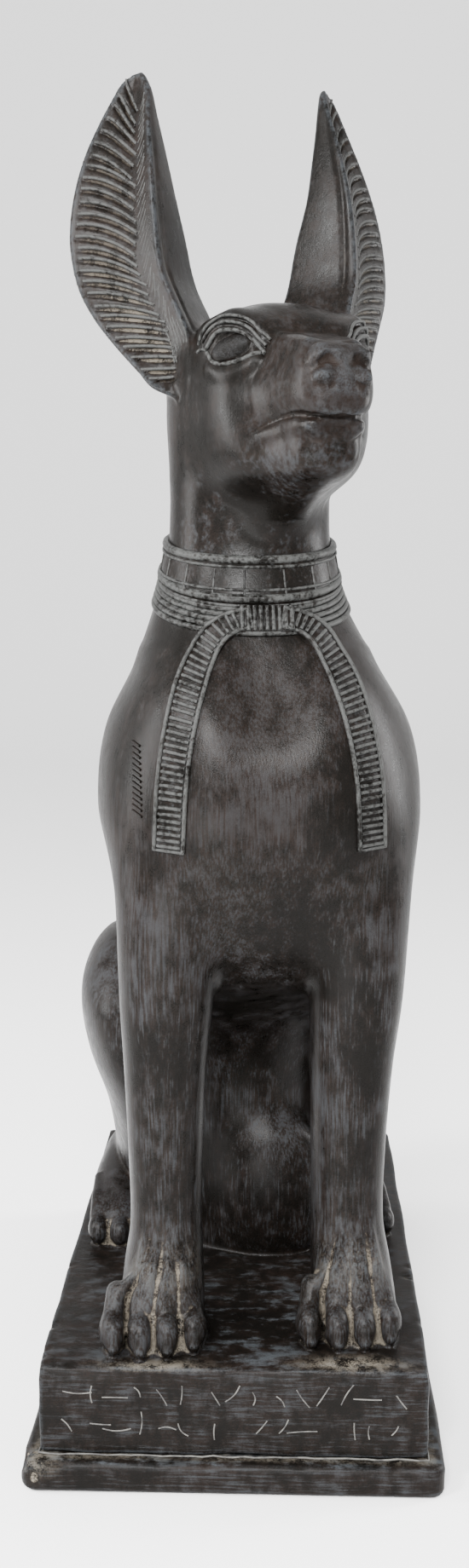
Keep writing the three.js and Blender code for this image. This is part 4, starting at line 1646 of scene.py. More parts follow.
@dataclass
class Head:
    """The head, ears and the neck above the collar."""

    pose: Pose
    trim: Trim
    step: float
    ear: EarShape
    plumes: "Plumes"
    triangles: int = 197000
    split: float = 59.4
    tilt: float = 0.22
    low: tuple[float, ...] = (-112.0, -134.0, -132.0)
    high: tuple[float, ...] = (112.0, 78.0, 194.0)
    grains: int = 56
    seed: int = 4
    eye_turn: float = 52.0
    eye_slant: float = 10.5
    lids: list[Array] = field(default_factory=list)
    arcs: list[Array] = field(default_factory=list)

    def __post_init__(self) -> None:
        """Makes the empty block of clay."""
        self.clay = Clay(self.low, self.high, self.step)

    def model(self) -> None:
        """Models the head in its own frame."""
        self.clay.add(Rows(SKULL, Axis.BACK, 2.5))
        self.clay.add(Rows(MUZZLE, Axis.BACK, 3.0), 13.0)
        self.clay.add(Rows(JAW, Axis.BACK, 3.0), 7.0)
        into_head = np.linalg.inv(self.pose.head_in_figure())
        self.clay.add(torso_form(), 17.0, into_head)
        throat = in_units((0, -3.0, -9.6), (0, -7.0, -8.7), (0, -9.6, -8.2))
        self.clay.add(Roll(throat, (16.0, 13.0, 8.0)), 20.0)
        for side in (-1, 1):
            self.cheek(side)
            self.clay.add(Ear(side, self.ear), 5.0)
            for line in self.plumes.lines(side)[0]:
                self.clay.cut(Roll(line - (0, 0, 2.3), tapered(1.35, len(line), 0.3)), 1.0)
        self.nose()
        self.mouth()
        for side in (-1, 1):
            self.eye(side)
        self.clay.keep(collar_plane(self.split, self.tilt, -1), into_head)

    def cheek(self, side: int) -> None:
        """Adds the brow, the cheek, the edge of the bridge and the angle of the jaw.

        Args:
            side: -1 for its right.
        """
        brow = in_units((side * 5.6, -4.4, 2.2), (side * 4.7, -6.4, 2.3), (side * 3.0, -8.2, 1.4))
        self.clay.add(Roll(brow, (8.0, 9.5, 7.0)), 12.0)
        self.clay.add(Ball(in_units((side * 3.0, -4.0, -5.4))[0], (22, 34, 26)), 16.0)
        self.clay.add(Roll(in_units((side * 2.8, -8.8, -3.0), (side * 1.6, -12.8, -3.9)), (9.5, 9.0)), 12.0)
        bridge = in_units((side * 1.9, -8.6, 0.45), (side * 1.9, -11.0, 0.0), (side * 1.7, -13.8, -0.9))
        self.clay.add(Roll(bridge, (4.6, 4.8, 4.4)), 5.0)

    def nose(self) -> None:
        """Adds the nose leather with its nostrils, its grain and the line below it."""
        self.clay.add(Roll(in_units((-1.2, -15.0, -2.1), (1.2, -15.0, -2.1)), 8.9), 0.8)
        self.clay.add(Ball(in_units((0, -15.2, -3.5))[0], (14.0, 8.8, 9.5)), 1.6)
        for side in (-1, 1):
            self.clay.add(Ball(in_units((side * 1.45, -15.6, -3.5))[0], (6.0, 6.4, 4.6)), 1.6)
        chance = np.random.default_rng(self.seed)
        x, y = chance.uniform(-2.0, 2.0, self.grains), np.full(self.grains, -17.4)
        start = np.column_stack([x, y, chance.uniform(-4.7, -1.6, self.grains)])
        for dot in self.clay.settle(start * UNIT, INWARD, 60.0):
            self.clay.add(Ball(dot, (1.7, 0.7, 1.4)), 1.0)
        for side in (-1, 1):
            rows = ((0.35, -16.7, -3.2), (0.65, -16.6, -2.6), (1.15, -16.3, -2.25), (1.7, -15.9, -2.5))
            hole = in_units(*((side * x, y, z) for x, y, z in rows))
            self.clay.cut(Roll(hole, (1.8, 4.2, 4.2, 2.0)), 1.0)
        ridge = ((-2.0, -14.3, -1.5), (-1.2, -14.35, -0.95), (1.2, -14.35, -0.95), (2.0, -14.3, -1.5))
        self.clay.cut(Roll(in_units(*ridge), (0.8, 1.2, 1.2, 0.8)), 1.6)
        below = in_units((0, -16.8, -2.9), (0, -16.6, -4.0), (0, -16.2, -5.0))
        self.clay.cut(Roll(below, (0.8, 1.2, 0.6)), 2.2)

    def mouth(self) -> None:
        """Cuts the line of the mouth and adds the lower lip."""
        sides = []
        for side in (-1, 1):
            rows = ((9, -8.7, -5.95), (9, -9.8, -5.6), (9, -11.2, -5.45), (9, -12.8, -5.55), (8, -14.0, -5.8))
            line = in_units(*((side * x, y, z) for x, y, z in rows))
            line = self.clay.settle(line, np.array([-side * 1.0, 0.0, 0.0]), 60.0)
            tip = in_units((side * 1.5, -14.7, -5.95), (0, -15.0, -6.0))
            sides.append((line + (-side * 3.8, 1.0, -5.2), np.vstack([line, tip])))
        chin = in_units((-1.3, -13.5, -6.9), (1.3, -13.5, -6.9))
        across = np.vstack([sides[0][0], chin, sides[1][0][::-1]])
        half = (1.0, 3.4, 4.0, 4.0, 3.8, 3.8)
        self.clay.add(Roll(across, half + half[::-1]), 5.0)
        for _, line in sides:
            self.clay.cut(Roll(line, (0.4, 1.1, 1.3, 1.5, 1.9, 2.0, 2.0)), 2.0)

    def eye(self, side: int) -> None:
        """Carves an eye and its brow, and lays out the lines of its lids and arcs.

        Args:
            side: -1 for its right.
        """
        at = moved(*in_units((side * 5.0, -7.35, 0.6))[0]) @ turned("z", side * self.eye_turn)
        out = at[:3, :3] @ -INWARD

        def laid(*points: Sequence[float]) -> Array:
            """Lays points of the eye's own plane on the face.

            Args:
                points: the points, towards the muzzle and up, in figure units.

            Returns:
                A smooth line.
            """
            rows = np.column_stack([np.arange(len(points)), np.array(points, float)])
            line = through(rows, np.linspace(0, len(points) - 1, 6 * len(points)))
            start = np.column_stack([-side * line[:, 0], np.zeros(len(line)), line[:, 1]]) * UNIT
            return self.clay.settle(carried(at, start) + out * 24, -out, 60.0)

        pouch = laid(*POUCH)
        self.clay.add(Roll(pouch - out * 2.6, 3.2), 5.0)
        self.lids += [laid(*line) for line in LIDS]
        self.arcs += [laid(*line) for line in ARCS]
        for line, radius in ((self.arcs[-3], 1.3), (self.arcs[-2], 1.2), (self.lids[-2], 1.3)):
            self.clay.cut(Roll(line + (0, 0, -1.9), tapered(radius, len(line), 0.2)), 1.4)
        plane = at.copy()
        plane[:3, 3] = laid((-0.2, -0.1), (-0.2, -0.1))[0]
        plane = plane @ turned("y", side * self.eye_slant)
        self.clay.cut(Ball((0, -0.8, 0.3), (2.25 * UNIT, 4.4, 1.12 * UNIT)), 1.2, plane)
        self.clay.add(Ball((0, 2.9, 0.0), (1.8 * UNIT, 6.4, 0.93 * UNIT)), 0.5, plane)

    def eye_lines(self) -> list[Piece]:
        """Builds the lids and the arcs of the brow as tapered beads.

        Returns:
            The pieces.
        """
        place = self.pose.head_in_part()
        kinds = (("eye_lids", self.lids, 0.00125), ("brow_arcs", self.arcs, 0.00095))
        return [
            Bead(self.trim.bead, self.trim.rubbed, radius, 10, 0.85).lay(name, lines, place)
            for name, lines, radius in kinds
        ]

    def build(self, finish: Material) -> Piece:
        """Models the head, meshes it and dresses it.

        Args:
            finish: its material.

        Returns:
            The piece.
        """
        def marks(points: Array) -> dict[str, Array]:
            """Filler lies in the ears, most of it low, and the nose is leathery. Under the jaw and down the
            neck the grey rub rises: partly wear, partly a painted highlight for the lit underside of the jaw.

            Args:
                points: points of its skin.

            Returns:
                Shares by name.
            """
            x, y, z = points.T
            ear = step_up(np.abs(x), 48, 56) * step_up(z, -6, 8)
            nose = step_up(-y, 110, 115) * step_up(z, -38, -34) * step_up(-z, 7, 9)
            nose = nose * (1 - step_up(np.abs(x), 13, 17))
            # The eyeballs take the nose's grey grain: partly texture, partly a painted highlight that
            # lightens them.
            eyes = step_up(12.5 - np.hypot(np.hypot(np.abs(x) - 39, y + 55), (z - 5) * 1.6), 0, 2)
            return {
                "filled": ear * (0.5 - 0.35 * step_up(z, 20, 110)),
                # More grey rub under the jaw and down the neck: partly wear, partly a painted highlight for
                # the lit underside of the jaw.
                "wear": 0.2 + 0.4 * step_up(-z, 50, 64),
                "leather": np.maximum(nose, eyes),
            }

        self.model()
        return cast_piece("jackal_head", self.clay, self.pose.head_in_part(), self.triangles, finish, marks)


@dataclass
class Plumes:
    """The raised strokes carved on the hollow face of each ear."""

    pose: Pose
    trim: Trim
    shape: EarShape
    strokes: int = 27
    lowest: float = 0.2
    highest: float = 25.0
    rim: float = 0.93
    middle: float = 0.25
    fine: int = 7
    seed: int = 20

    def on_face(self, side: int, levels: Array, shares: Array) -> Array:
        """Places on an ear's plume face, in the head's frame.

        Args:
            side: -1 for its right.
            levels: their heights, in figure units.
            shares: their places from the front edge at 0 to the outer edge at 1.

        Returns:
            One point for each.
        """
        rows = through(EAR_ROWS, levels)
        flat = np.array([self.shape.face(row, [share])[0] for row, share in zip(rows, shares)])
        return np.column_stack([side * flat[:, 0], flat[:, 1], levels]) * UNIT

    def lines(self, side: int) -> tuple[list[Array], list[Array]]:
        """The lines of one ear: its broad strokes, and its fine wisps.

        Args:
            side: -1 for its right.

        Returns:
            The strokes and the wisps, each as points.
        """
        chance = np.random.default_rng(self.seed + side)
        run = np.linspace(0, 1, 13)
        lines, wisps, feet = [], [], []
        for level in np.linspace(self.lowest, self.highest, self.strokes):
            level = level + chance.uniform(-0.12, 0.12)
            fall = float(np.interp(level, (0, 4, 8, 12, 18, 23), (0.1, 1.0, 1.9, 2.5, 2.8, 3.0)))
            start = self.rim - chance.uniform(0, 0.03)
            end = self.middle + chance.uniform(-0.02, 0.05)
            bend = 1.9 - 0.5 * max(level - 14, 0) / 9
            lines.append(self.on_face(side, level - fall * run**bend, start + (end - start) * run))
            feet.append(level - fall)
        run = np.linspace(0, 1, 9)
        for foot in np.interp(np.arange(3.0, len(feet) - 0.5, 0.66), range(len(feet)), feet):
            foot = foot + chance.uniform(-0.12, 0.12)
            tall = 1.5 + chance.uniform(-0.3, 0.3)
            wisps.append(self.on_face(side, foot + 0.1 + tall * run**1.2, 0.22 - 0.12 * run))
        run = np.linspace(0, 1, 15)
        for i in range(self.fine):
            start = 0.07 + 0.045 * i
            low, high = -0.5 + 0.1 * i, 4.4 + 0.9 * chance.uniform(-1, 1)
            sway = 0.012 * np.sin(run * 7 + i)
            wisps.append(self.on_face(side, low + (high - low) * run, start + sway - 0.05 * run))
        return lines, wisps

    def build(self) -> list[Piece]:
        """Lays a tapered bead along every stroke and wisp.

        Returns:
            The pieces.
        """
        right, left = self.lines(-1), self.lines(1)
        pieces = []
        for i, (name, radius) in enumerate((("ear_plumes", 0.00105), ("ear_wisps", 0.00065))):
            bead = Bead(self.trim.bead, self.trim.rubbed, radius, taper=0.8)
            pieces.append(bead.lay(name, right[i] + left[i], self.pose.head_in_part()))
        return pieces


@dataclass
class Collar:
    """The band round the neck, its rims and the strands under it."""

    pose: Pose
    trim: Trim
    sides: int = 120
    foot: float = 57.6
    tilt: float = 0.22
    bars: int = 18
    strand_tilt: float = 0.31
    strand_top: float = 57.95
    strand_count: int = 5
    strand_pitch: float = 0.43

    def ring(self, rise: float, tilt: float, proud: float) -> Array:
        """A ring round the body that rises towards the back.

        Args:
            rise: its height at the front, in figure units.
            tilt: how steeply it rises.
            proud: how far it stands off the skin.

        Returns:
            The ring's points, in millimetres.
        """
        rows = np.array(TORSO)
        front = through(rows, np.array([rise]))[0][1]
        angles = np.linspace(0, 2 * math.pi, self.sides, endpoint=False)
        c, s = np.cos(angles), np.sin(angles)
        power = 2 / ROUND
        c, s = np.sign(c) * np.abs(c) ** power, np.sign(s) * np.abs(s) ** power
        height = np.full(self.sides, rise)
        for _ in range(3):
            middle, near, far, half = through(rows, height).T
            y = (near + far) / 2 + ((far - near) / 2 + proud) * s
            height = rise + tilt * (y - front)
        return np.stack([middle + (half + proud) * c, y, height], 1) * UNIT

    def build(self) -> list[Piece]:
        """Builds the band, its rims, its division lines and the strands.

        Returns:
            The pieces.
        """
        place = self.pose.figure()
        profile = [(4.2, -0.5), (4.15, 0.22), (3.6, 0.3), (2.7, 0.34), (1.7, 0.3), (0.75, 0.22), (0.5, -0.5)]
        rings = np.stack([self.ring(self.foot + rise, self.tilt, proud) for rise, proud in profile], 1)
        band = skinned("collar_band", rings, True, place)
        band.data.materials.append(self.trim.ground)
        pieces = [band]
        rims = (
            ("collar_rim", 0.0026, [(61.75, 0.2, 0.16), (58.8, 0.27, 0.16)]),
            ("collar_lines", 0.0009, [(61.25, 0.2, 0.34), (59.5, 0.22, 0.34), (58.3, 0.29, 0.3)]),
        )
        for name, radius, rows in rims:
            bead = Bead(self.trim.bead, self.trim.rubbed, radius, 10)
            pieces.append(bead.lay(name, [self.ring(*row) for row in rows], place, True))
        levels = [self.ring(self.foot + rise, self.tilt, 0.33) for rise in np.linspace(1.4, 3.4, 5)]
        starts = [int((i + 0.3) * self.sides / self.bars) for i in range(self.bars)]
        bars = [np.stack([level[at] for level in levels]) for at in starts]
        pieces.append(Bead(self.trim.bead, self.trim.rubbed, 0.0006).lay("collar_bars", bars, place))
        strands = [
            self.ring(self.strand_top - i * self.strand_pitch, self.strand_tilt - 0.012 * i, 0.12)
            for i in range(self.strand_count)
        ]
        bead = Bead(self.trim.bead, self.trim.rubbed, 0.0018, 8)
        pieces.append(bead.lay("collar_strands", strands, place, True))
        return pieces


# The left tail of the ribbon, as sideways places and heights in figure units.
RIBBON_LINE = [
    (1.2, 57.2), (2.3, 56.95), (3.5, 56.3), (4.8, 54.8),
    (5.9, 52.4), (6.8, 49.1), (7.4, 45.3), (7.7, 40.0),
]


@dataclass
class Ribbon:
    """The ribbed ribbon on the chest, with two tails from a knot, and the hatching on the right shoulder."""

    pose: Pose
    trim: Trim
    clay: Clay
    centre: float = 0.55
    narrow: float = 0.74
    wide: float = 1.1
    rib_pitch: float = 0.5
    lift: float = 2.6
    steps: int = 120
    before: float = -24.2
    reach: float = 110.0

    def line(self) -> Array:
        """The left tail's centre line.

        Returns:
            Rows of the length along it, the sideways place and the height.
        """
        points = np.array(RIBBON_LINE)
        keys = np.concatenate([[0], np.cumsum(np.hypot(*np.diff(points, axis=0).T))])
        rows = np.column_stack([keys, points])
        fine = through(rows, np.linspace(0, keys[-1], 400))
        lengths = np.concatenate([[0], np.cumsum(np.hypot(*np.diff(fine, axis=0).T))])
        even = np.linspace(0, lengths[-1], self.steps + 1)
        x, height = (np.interp(even, lengths, fine[:, i]) for i in (0, 1))
        return np.column_stack([even, x, height])

    def laid(self, x: Array, height: Array, proud: float | Array) -> Array:
        """Places on the chest, seen from in front, that stand off it.

        Args:
            x: their sideways places, in figure units.
            height: their heights, in figure units.
            proud: how far they stand off the skin.

        Returns:
            The points.
        """
        start = np.stack([x, np.full_like(x, self.before), height], 1) * UNIT
        found = self.clay.settle(start, INWARD, self.reach)
        return found + self.outward(found) * np.broadcast_to(proud, x.shape)[:, None]

    def halves(self) -> Array:
        """Half of the ribbon's width at each place of its line."""
        return self.narrow + (self.wide - self.narrow) * step_up(self.line()[:, 0], 0.5, 8.0)

    def over(self) -> Array:
        """How far the ribbon is lifted over the strands at each place of its line."""
        return self.lift * (1 - step_up(self.line()[:, 0], 2.8, 5.0))

    def outward(self, points: Array) -> Array:
        """The way out of the skin.

        Args:
            points: where.

        Returns:
            One way for each point, 1 long.
        """
        parts = []
        for axis in range(3):
            shift = np.zeros(3)
            shift[axis] = 2.5
            ahead, behind = (self.clay.read(self.clay.field, points + sign * shift) for sign in (1, -1))
            parts.append(ahead - behind)
        way = np.stack(parts, 1).astype(np.float64)
        return way / np.maximum(np.linalg.norm(way, axis=1, keepdims=True), 1e-6)

    def beside(self, side: int, share: float) -> tuple[Array, Array]:
        """A line beside a tail's centre line.

        Args:
            side: -1 for its right.
            share: how far beside it, as a share of the tail's half-width.

        Returns:
            Its sideways places and its heights.
        """
        line = self.line()
        offset = share * self.halves()[:, None]
        way = np.gradient(line[:, 1:], axis=0)
        way = way / np.linalg.norm(way, axis=1, keepdims=True)
        across = np.stack([-way[:, 1], way[:, 0]], 1) * offset
        return side * (line[:, 1] + across[:, 0]) + self.centre, line[:, 2] + across[:, 1]

    def build(self) -> list[Piece]:
        """Builds the tails, their borders and ribs, the knot and the hatching.

        Returns:
            The pieces.
        """
        place = self.pose.figure()
        tails = ((-1, "ribbon_right"), (1, "ribbon_left"))
        pieces = [self.tail(side, name) for side, name in tails]
        borders = [self.border(side) for side, _ in tails]
        pieces.append(Bead(self.trim.bead, self.trim.rubbed, 0.0013, 8).lay("ribbon_borders", borders, place))
        rows = [np.vstack(both) for both in zip(*(self.rib_rows(side) for side, _ in tails))]
        pieces.append(Ribs(self.trim.rib, self.trim.rubbed, 0.0150, 0.00115).lay("ribbon_ribs", rows, place))
        pieces.extend(self.knot())
        pieces.append(self.hatching())
        return pieces

    def tail(self, side: int, name: str) -> Piece:
        """Builds the strip of one tail.

        Args:
            side: -1 for its right.
            name: the piece's name.

        Returns:
            The piece.
        """
        half = [(-1.1, -1.5), (-1.05, 1.0), (-0.5, 0.7), (0.0, 0.6)]
        rings = []
        for share, proud in half + [(-share, proud) for share, proud in half[-2::-1]]:
            x, height = self.beside(side, share)
            rings.append(self.laid(x, height, proud + (self.over() if proud > 0 else 0.0)))
        strip = skinned(name, np.stack(rings, 1), False, self.pose.figure())
        strip.data.materials.append(self.trim.ground)
        return strip

    def border(self, side: int) -> Array:
        """The line round one tail, just inside its edges.

        Args:
            side: -1 for its right.

        Returns:
            Its points.
        """
        proud = 1.1 + self.over()
        first, second = (self.laid(*self.beside(side, share), proud) for share in (-0.95, 0.95))
        return np.vstack([first, second[::-1], first[:1]])

    def rib_rows(self, side: int) -> list[Array]:
        """Where the ribs of one tail stand and how they lie.

        Args:
            side: -1 for its right.

        Returns:
            Their points, the ways out of the skin and across, and how they are stretched.
        """
        count = int(self.line()[-1, 0] / self.rib_pitch)
        at = ((np.arange(count) + 0.5) / count * self.steps).astype(int)
        low, middle, high = (
            self.laid(*self.beside(side, share), 0.9 + self.over()) for share in (-0.6, 0.0, 0.6)
        )
        across = (high - low) / np.linalg.norm(high - low, axis=1, keepdims=True)
        size = np.column_stack([self.halves()[at] / self.wide, np.ones(count), np.ones(count)])
        return [middle[at], self.outward(middle[at]), across[at], size]

    def knot(self) -> list[Piece]:
        """Builds the bound piece between the tails, with its ribs.

        Returns:
            The two pieces.
        """
        x = self.centre + np.linspace(-2.0, 2.0, 15)
        rings = []
        profile = ((58.2, -1.5), (58.15, 3.0), (57.7, 4.2), (56.6, 4.2), (56.1, 3.0), (56.05, -1.5))
        for height, deep in profile:
            rings.append(self.laid(x, np.full_like(x, height), deep))
        bound = skinned("ribbon_knot", np.stack(rings, 1), False, self.pose.figure())
        bound.data.materials.append(self.trim.ground)
        x = self.centre + (np.arange(9) - 4) * 0.46
        middle = self.laid(x, np.full_like(x, 57.12), 4.1)
        up = np.tile([0.0, 0.25, 1.0], (len(x), 1))
        rows = (middle, self.outward(middle), up, np.ones_like(middle))
        ribs = Ribs(self.trim.rib, self.trim.rubbed, 0.0150, 0.0013)
        return [bound, ribs.lay("knot_ribs", rows, self.pose.figure())]

    def hatching(self) -> Piece:
        """Builds the strip of hatching on the right shoulder.

        Returns:
            The piece.
        """
        height = np.linspace(42.6, 47.8, 13)
        found = self.laid(np.full_like(height, -9.5), height, 0.2)
        across = np.tile([-1.0, 0.6, 0.45], (len(found), 1))
        rows = (found, self.outward(found), across, np.ones_like(found))
        ribs = Ribs(self.trim.rib, self.trim.plain, 0.0085, 0.0008)
        return ribs.lay("shoulder_hatching", rows, self.pose.figure())


def stone_marks(points: Array) -> dict[str, Array]:
    """Filler and wear all over a stone."""
    return {"filled": np.ones(len(points)), "wear": np.ones(len(points))}


@dataclass
class Plinth:
    """The upper block with its scratched marks, the low slab and the filler between them."""

    trim: Trim
    width: float = 230.0
    depth: float = 386.0
    height: float = 55.0
    gap: float = 0.3
    ledge: float = 10.0
    slab: float = 19.0
    step: float = 1.6
    marks: int = 15
    margin: float = 20.0
    block_chips: int = 26
    slab_chips: int = 18
    seed: int = 11

    def block_marks(self, points: Array) -> dict[str, Array]:
        """Pale filler is smeared round the toes on the block's top.

        Args:
            points: points of its skin.

        Returns:
            Shares by name.
        """
        x, y, z = points.T
        level = self.slab + self.gap + self.height
        top = step_up(z, level - 3, level - 1)
        paws = ((70.0, -184.0), (-48.0, -191.0))
        smear = sum(np.exp(-(((x - a) / 26) ** 2) - ((y - b) / 7) ** 2) for a, b in paws)
        scuff = np.exp(-(((x - 8) / 40) ** 2) - ((y + 135) / 45) ** 2)
        return stone_marks(points) | {"smear": 0.7 * top * smear, "wear": 0.8 + 1.6 * top * scuff}

    def slab_marks(self, points: Array) -> dict[str, Array]:
        """Pale filler lies along the ledge and on the broken corner, and the top faces are rubbed grey:
        partly wear, partly a painted highlight along the ledge.

        Args:
            points: points of its skin.

        Returns:
            Shares by name.
        """
        x, y, z = points.T
        top = step_up(z, self.slab - 1.5, self.slab - 0.3)
        out = np.maximum(np.abs(x) - self.width / 2, np.abs(y) - self.depth / 2)
        corner = np.exp(-(((x + 120) / 12) ** 2) - ((y + 200) / 10) ** 2 - ((z - 17) / 5) ** 2)
        smear = 0.3 * top * (1 - step_up(out, 1, 6)) + 0.6 * corner
        # More grey rub on the top faces: partly wear, partly a painted highlight along the ledge.
        return stone_marks(points) | {"smear": smear, "wear": 0.8 + 1.3 * top}

    def wave(self, x: Array, y: Array, z: Array) -> Array:
        """How far the hand-worked faces are moved.

        Args:
            x: sideways places.
            y: backward places.
            z: heights.

        Returns:
            The moves, in millimetres.
        """
        return (
            0.35 * np.sin(x * 0.043 + 1.3) * np.cos(y * 0.031 + z * 0.05)
            + 0.22 * np.sin(x * 0.11 + y * 0.07 + 2.1)
            + 0.18 * np.sin(z * 0.21 + x * 0.063 + y * 0.05)
        )

    def block(self, finish: Material) -> Piece:
        """Models the upper block, its worn edges and the bend of its front edge.

        Args:
            finish: its material.

        Returns:
            The piece.
        """
        low = (-self.width / 2, -self.depth / 2, self.slab + self.gap)
        high = (self.width / 2, self.depth / 2, self.slab + self.gap + self.height)
        clay = Clay(np.array(low) - 4, np.array(high) + 4, self.step)
        clay.add(Bar(low, high, 2.2, 2.0))
        x, y, z = clay.places(clay.whole(), None)
        front = np.exp(-((y + self.depth / 2) / 9) ** 2)
        bend = 0.9 + 0.9 * np.sin(x * 0.052 + 0.6) + 0.5 * np.sin(x * 0.13)
        sag = bend * front * step_up(z, high[2] - 12, high[2])
        clay.field = clay.field + (0.35 + self.wave(x, y, z) + sag).astype(np.float32)
        self.chips(clay, low, high, self.block_chips, 2.2)
        return cast_piece("upper_block", clay, np.eye(4), 110000, finish, self.block_marks)

    def slab_piece(self, finish: Material) -> Piece:
        """Models the low slab with its rounded corners.

        Args:
            finish: its material.

        Returns:
            The piece.
        """
        half = (self.width / 2 + self.ledge, self.depth / 2 + self.ledge)
        low, high = (-half[0], -half[1], 0.0), (half[0], half[1], self.slab)
        clay = Clay(np.array(low) - 4, np.array(high) + 4, self.step)
        clay.add(Bar(low, high, 10.0, 4.5))
        x, y, z = clay.places(clay.whole(), None)
        level = step_up(z, 0.5, 5.0)
        clay.field = clay.field + ((0.4 + 1.2 * self.wave(x + 40, y, z)) * level).astype(np.float32)
        self.chips(clay, low, high, self.slab_chips, 2.6)
        broken = (
            ((-108, -205, 20), (10, 4, 3.2)),
            ((-124, -192, 15), (3.5, 9, 4.5)),
            ((-118, -203, 9), (5, 3, 5)),
        )
        for at, size in broken:
            clay.cut(Ball(at, size), 1.5)
        return cast_piece("low_slab", clay, np.eye(4), 90000, finish, self.slab_marks)

    def chips(self, clay: Clay, low: Sequence[float], high: Sequence[float], count: int, size: float) -> None:
        """Knocks small chips off the upper edges and corners.

        Args:
            clay: the model.
            low: the stone's lowest corner.
            high: its highest corner.
            count: how many chips.
            size: about how large they are.
        """
        chance = np.random.default_rng(self.seed)
        for _ in range(count):
            side = chance.integers(0, 4)
            share = chance.uniform(0.02, 0.98)
            if side < 2:
                x, y = low[0] + share * (high[0] - low[0]), (low[1], high[1])[side]
            else:
                x, y = (low[0], high[0])[side - 2], low[1] + share * (high[1] - low[1])
            z = high[2] if chance.random() < 0.7 else low[2] + chance.uniform(0.2, 1) * (high[2] - low[2])
            radius = size * chance.uniform(0.5, 1.3)
            radii = (radius * chance.uniform(1, 3), radius * chance.uniform(1, 2), radius)
            clay.cut(Ball((x, y, z), radii), 2.0)

    def inscription(self) -> Piece:
        """Scratches two rows of plain strokes that spell nothing.

        Returns:
            The piece.
        """
        chance = np.random.default_rng(self.seed + 4)
        lines = []
        for row in range(2):
            for i in range(self.marks):
                if chance.random() >= 0.12:
                    lines.append(self.stroke(chance, row, i))
        return Bead(self.trim.bead, self.trim.pale, 0.00045).lay("inscription_strokes", lines, np.eye(4))

    def stroke(self, chance: np.random.Generator, row: int, i: int) -> Array:
        """One stroke on the block's front.

        Args:
            chance: draws its kind, place, length and bow.
            row: 0 for the lower row.
            i: its number in the row.

        Returns:
            Its points.
        """
        kind = list(Mark)[int(chance.integers(0, 4))]
        length = chance.uniform(7, 15) if kind is not Mark.LEVEL else chance.uniform(8, 18)
        spot = i + chance.uniform(-0.25, 0.25)
        x = -self.width / 2 + self.margin + spot * (self.width - 2 * self.margin) / (self.marks - 1)
        base = self.slab + self.gap
        z = base + self.height * (0.32 + 0.36 * row) + chance.uniform(-2.5, 2.5)
        lean = math.radians(kind.value + chance.uniform(-6, 6))
        bow = chance.uniform(-1.6, 1.6)
        share = np.linspace(-0.5, 0.5, 9)
        along, off = share * length, bow * np.cos(math.pi * share)
        at_x = x + along * math.sin(lean) + off * math.cos(lean)
        at_z = z + along * math.cos(lean) - off * math.sin(lean)
        face = -self.depth / 2 + 0.35 + self.wave(at_x, np.full_like(at_x, -self.depth / 2), at_z)
        return np.stack([at_x, face, at_z], 1)

    def filler(self) -> Piece:
        """Lays the thin line of filler round the block's foot.

        Returns:
            The piece.
        """
        chance = np.random.default_rng(self.seed + 9)
        x, y = self.width / 2 - 0.2, self.depth / 2 - 0.2
        corners = np.array([[-x, -y], [x, -y], [x, y], [-x, y], [-x, -y]])
        line = []
        for a, b in zip(corners[:-1], corners[1:]):
            steps = int(np.linalg.norm(b - a) / 6)
            line.extend(a + (b - a) * i / steps for i in range(steps))
        line = np.array(line)
        wobble = chance.normal(0, 0.3, (len(line), 2))
        level = self.slab + 0.1 + chance.normal(0, 0.18, len(line))
        lines = [np.column_stack([line + wobble, level])]
        return Bead(self.trim.bead, self.trim.pale, 0.0006).lay("joint_filler", lines, np.eye(4), True)


# The studio.


@dataclass(frozen=True)
class Lamp:
    """A soft light: where it hangs, what it points at, its width and height, and its power in watts."""

    name: str
    place: tuple[float, float, float]
    target: tuple[float, float, float]
    size: tuple[float, float]
    power: float

    def hang(self) -> None:
        """Hangs it in the scene."""
        data = bpy.data.lights.new(self.name, "AREA")
        data.shape = "RECTANGLE"
        data.size, data.size_y = self.size
        data.energy = self.power
        lamp = in_scene(self.name, data)
        lamp.location = self.place
        way = np.array(self.target, float) - np.array(self.place, float)
        tilt = math.acos(-way[2] / np.linalg.norm(way))
        lamp.rotation_euler = (tilt, 0.0, math.atan2(way[1], way[0]) - math.pi / 2)


LAMPS = (
    Lamp("front", (-0.12, -1.4, 1.16), (0, -0.1, 0.5), (0.5, 0.25), 85),
    Lamp("key", (-1.0, -0.95, 1.45), (0, 0, 0.6), (0.3, 0.5), 60),
    Lamp("left", (-1.5, -0.1, 0.75), (0, 0, 0.45), (0.3, 1.0), 48),
    Lamp("right", (1.4, 0.35, 0.75), (0, 0, 0.45), (0.3, 1.0), 46),
    Lamp("low", (-0.4, -1.4, 0.15), (0, 0, 0.62), (1.2, 0.25), 24),
)


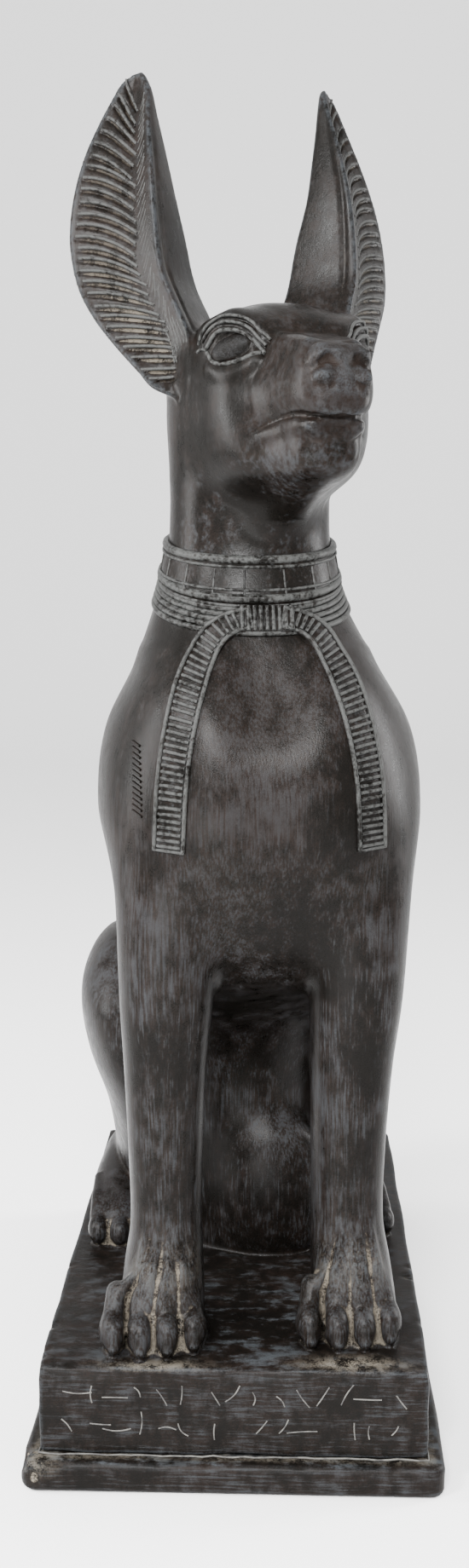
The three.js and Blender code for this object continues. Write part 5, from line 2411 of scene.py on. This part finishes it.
@dataclass
class Studio:
    """Camera, floor and lights, in metres and degrees, with the photo's focal length and height in pixels."""

    place: tuple[float, float, float] = (0.0292, -1.0534, 0.5448)
    yaw: float = 1.89
    pitch: float = 8.29
    focal: float = 1850.0
    tall: float = 1840.0
    sensor: float = 36.0
    wide: float = 9.0
    flat: float = 3.0
    bend: float = 2.5
    sky: float = 2.2

    def camera(self) -> None:
        """Sets the camera at the photograph's viewpoint."""
        data = bpy.data.cameras.new("viewpoint")
        data.sensor_fit = "VERTICAL"
        data.sensor_height = self.sensor
        data.lens = self.sensor * self.focal / self.tall
        data.clip_end = 50.0
        camera = in_scene("viewpoint", data)
        camera.location = self.place
        camera.rotation_euler = (math.radians(90 - self.pitch), 0.0, math.radians(self.yaw))
        bpy.context.scene.camera = camera

    def floor(self) -> None:
        """Lays the floor, which curves up far behind the figure."""
        profile = [(-self.wide, 0.0), (self.flat, 0.0)]
        for turn in np.linspace(0.1, math.pi / 2, 16):
            back, up = self.bend * math.sin(turn), self.bend - self.bend * math.cos(turn)
            profile.append((self.flat + back, up))
        profile.append((self.flat + self.bend, self.wide))
        points = [(x, y, z) for y, z in profile for x in (-self.wide, self.wide)]
        faces = [(2 * i, 2 * i + 1, 2 * i + 3, 2 * i + 2) for i in range(len(profile) - 1)]
        mesh = bpy.data.meshes.new("floor")
        mesh.from_pydata(points, [], faces)
        mesh.shade_smooth()
        mesh.materials.append(FloorFinish().make())
        in_scene("floor", mesh)

    def build(self) -> None:
        """Sets the whole studio."""
        self.camera()
        self.floor()
        world = bpy.data.worlds.new("studio")
        world.use_nodes = True
        colour, strength = world.node_tree.nodes["Background"].inputs[:2]
        colour.default_value = (1.0, 1.0, 1.0, 1.0)
        strength.default_value = self.sky
        bpy.context.scene.world = world
        for lamp in LAMPS:
            lamp.hang()


def attach(pieces: Iterable[Piece], node: str) -> None:
    """Ties pieces to the frame in place of a node and reports each.

    Args:
        pieces: the pieces.
        node: the node of the solids.
    """
    for piece in pieces:
        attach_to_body(piece, "root")
        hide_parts(node)
        LOG.info("%s: %d triangles", piece.name, triangles_of(piece))


def main() -> None:
    """Builds the figure, its plinth and the studio."""
    logging.basicConfig(level=logging.INFO, format="%(message)s")
    coarse = 1.0
    pose = Pose()
    cast = CastFinish().make()
    face = CastFinish(name="dark_face", brush=(320.0, 320.0, 260.0)).make()
    grey, blue, fine = tone(0.034, 0.035, 0.034), tone(0.03, 0.032, 0.034), (420.0, 420.0, 420.0)
    rubbed = CastFinish(name="rubbed_carving", cool=grey, brush=fine, cool_from=0.46, rub=1.0).make()
    ground = CastFinish(name="dark_band", cool=blue, brush=fine, rub=0.5).make()
    block = CastFinish(name="dark_block", brush=(60.0, 160.0, 900.0), cool_from=0.55, roughness=0.44).make()
    slab = CastFinish(name="dark_slab", brush=(40.0, 160.0, 700.0), cool_from=0.55, roughness=0.44).make()
    pale = ScratchFinish().make()
    trim = Trim(bead_tree(), rib_tree(), rubbed, ground, cast, pale)
    body = Body(pose, 1.55 * coarse)
    attach([body.build(cast)], CAST)
    attach(Collar(pose, trim).build(), CAST)
    attach(Ribbon(pose, trim, body.clay).build(), CAST)
    head = Head(pose, trim, 1.15 * coarse, EarShape(), Plumes(pose, trim, EarShape()))
    attach([head.build(face)], CAST)
    attach(head.plumes.build(), CAST)
    attach(head.eye_lines(), CAST)
    plinth = Plinth(trim, step=1.6 * coarse)
    attach([plinth.block(block)], CAST)
    attach([plinth.inscription()], CAST)
    attach([plinth.slab_piece(slab), plinth.filler()], SLAB)
    Studio().build()


if __name__ == "__main__":
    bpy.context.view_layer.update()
    main()
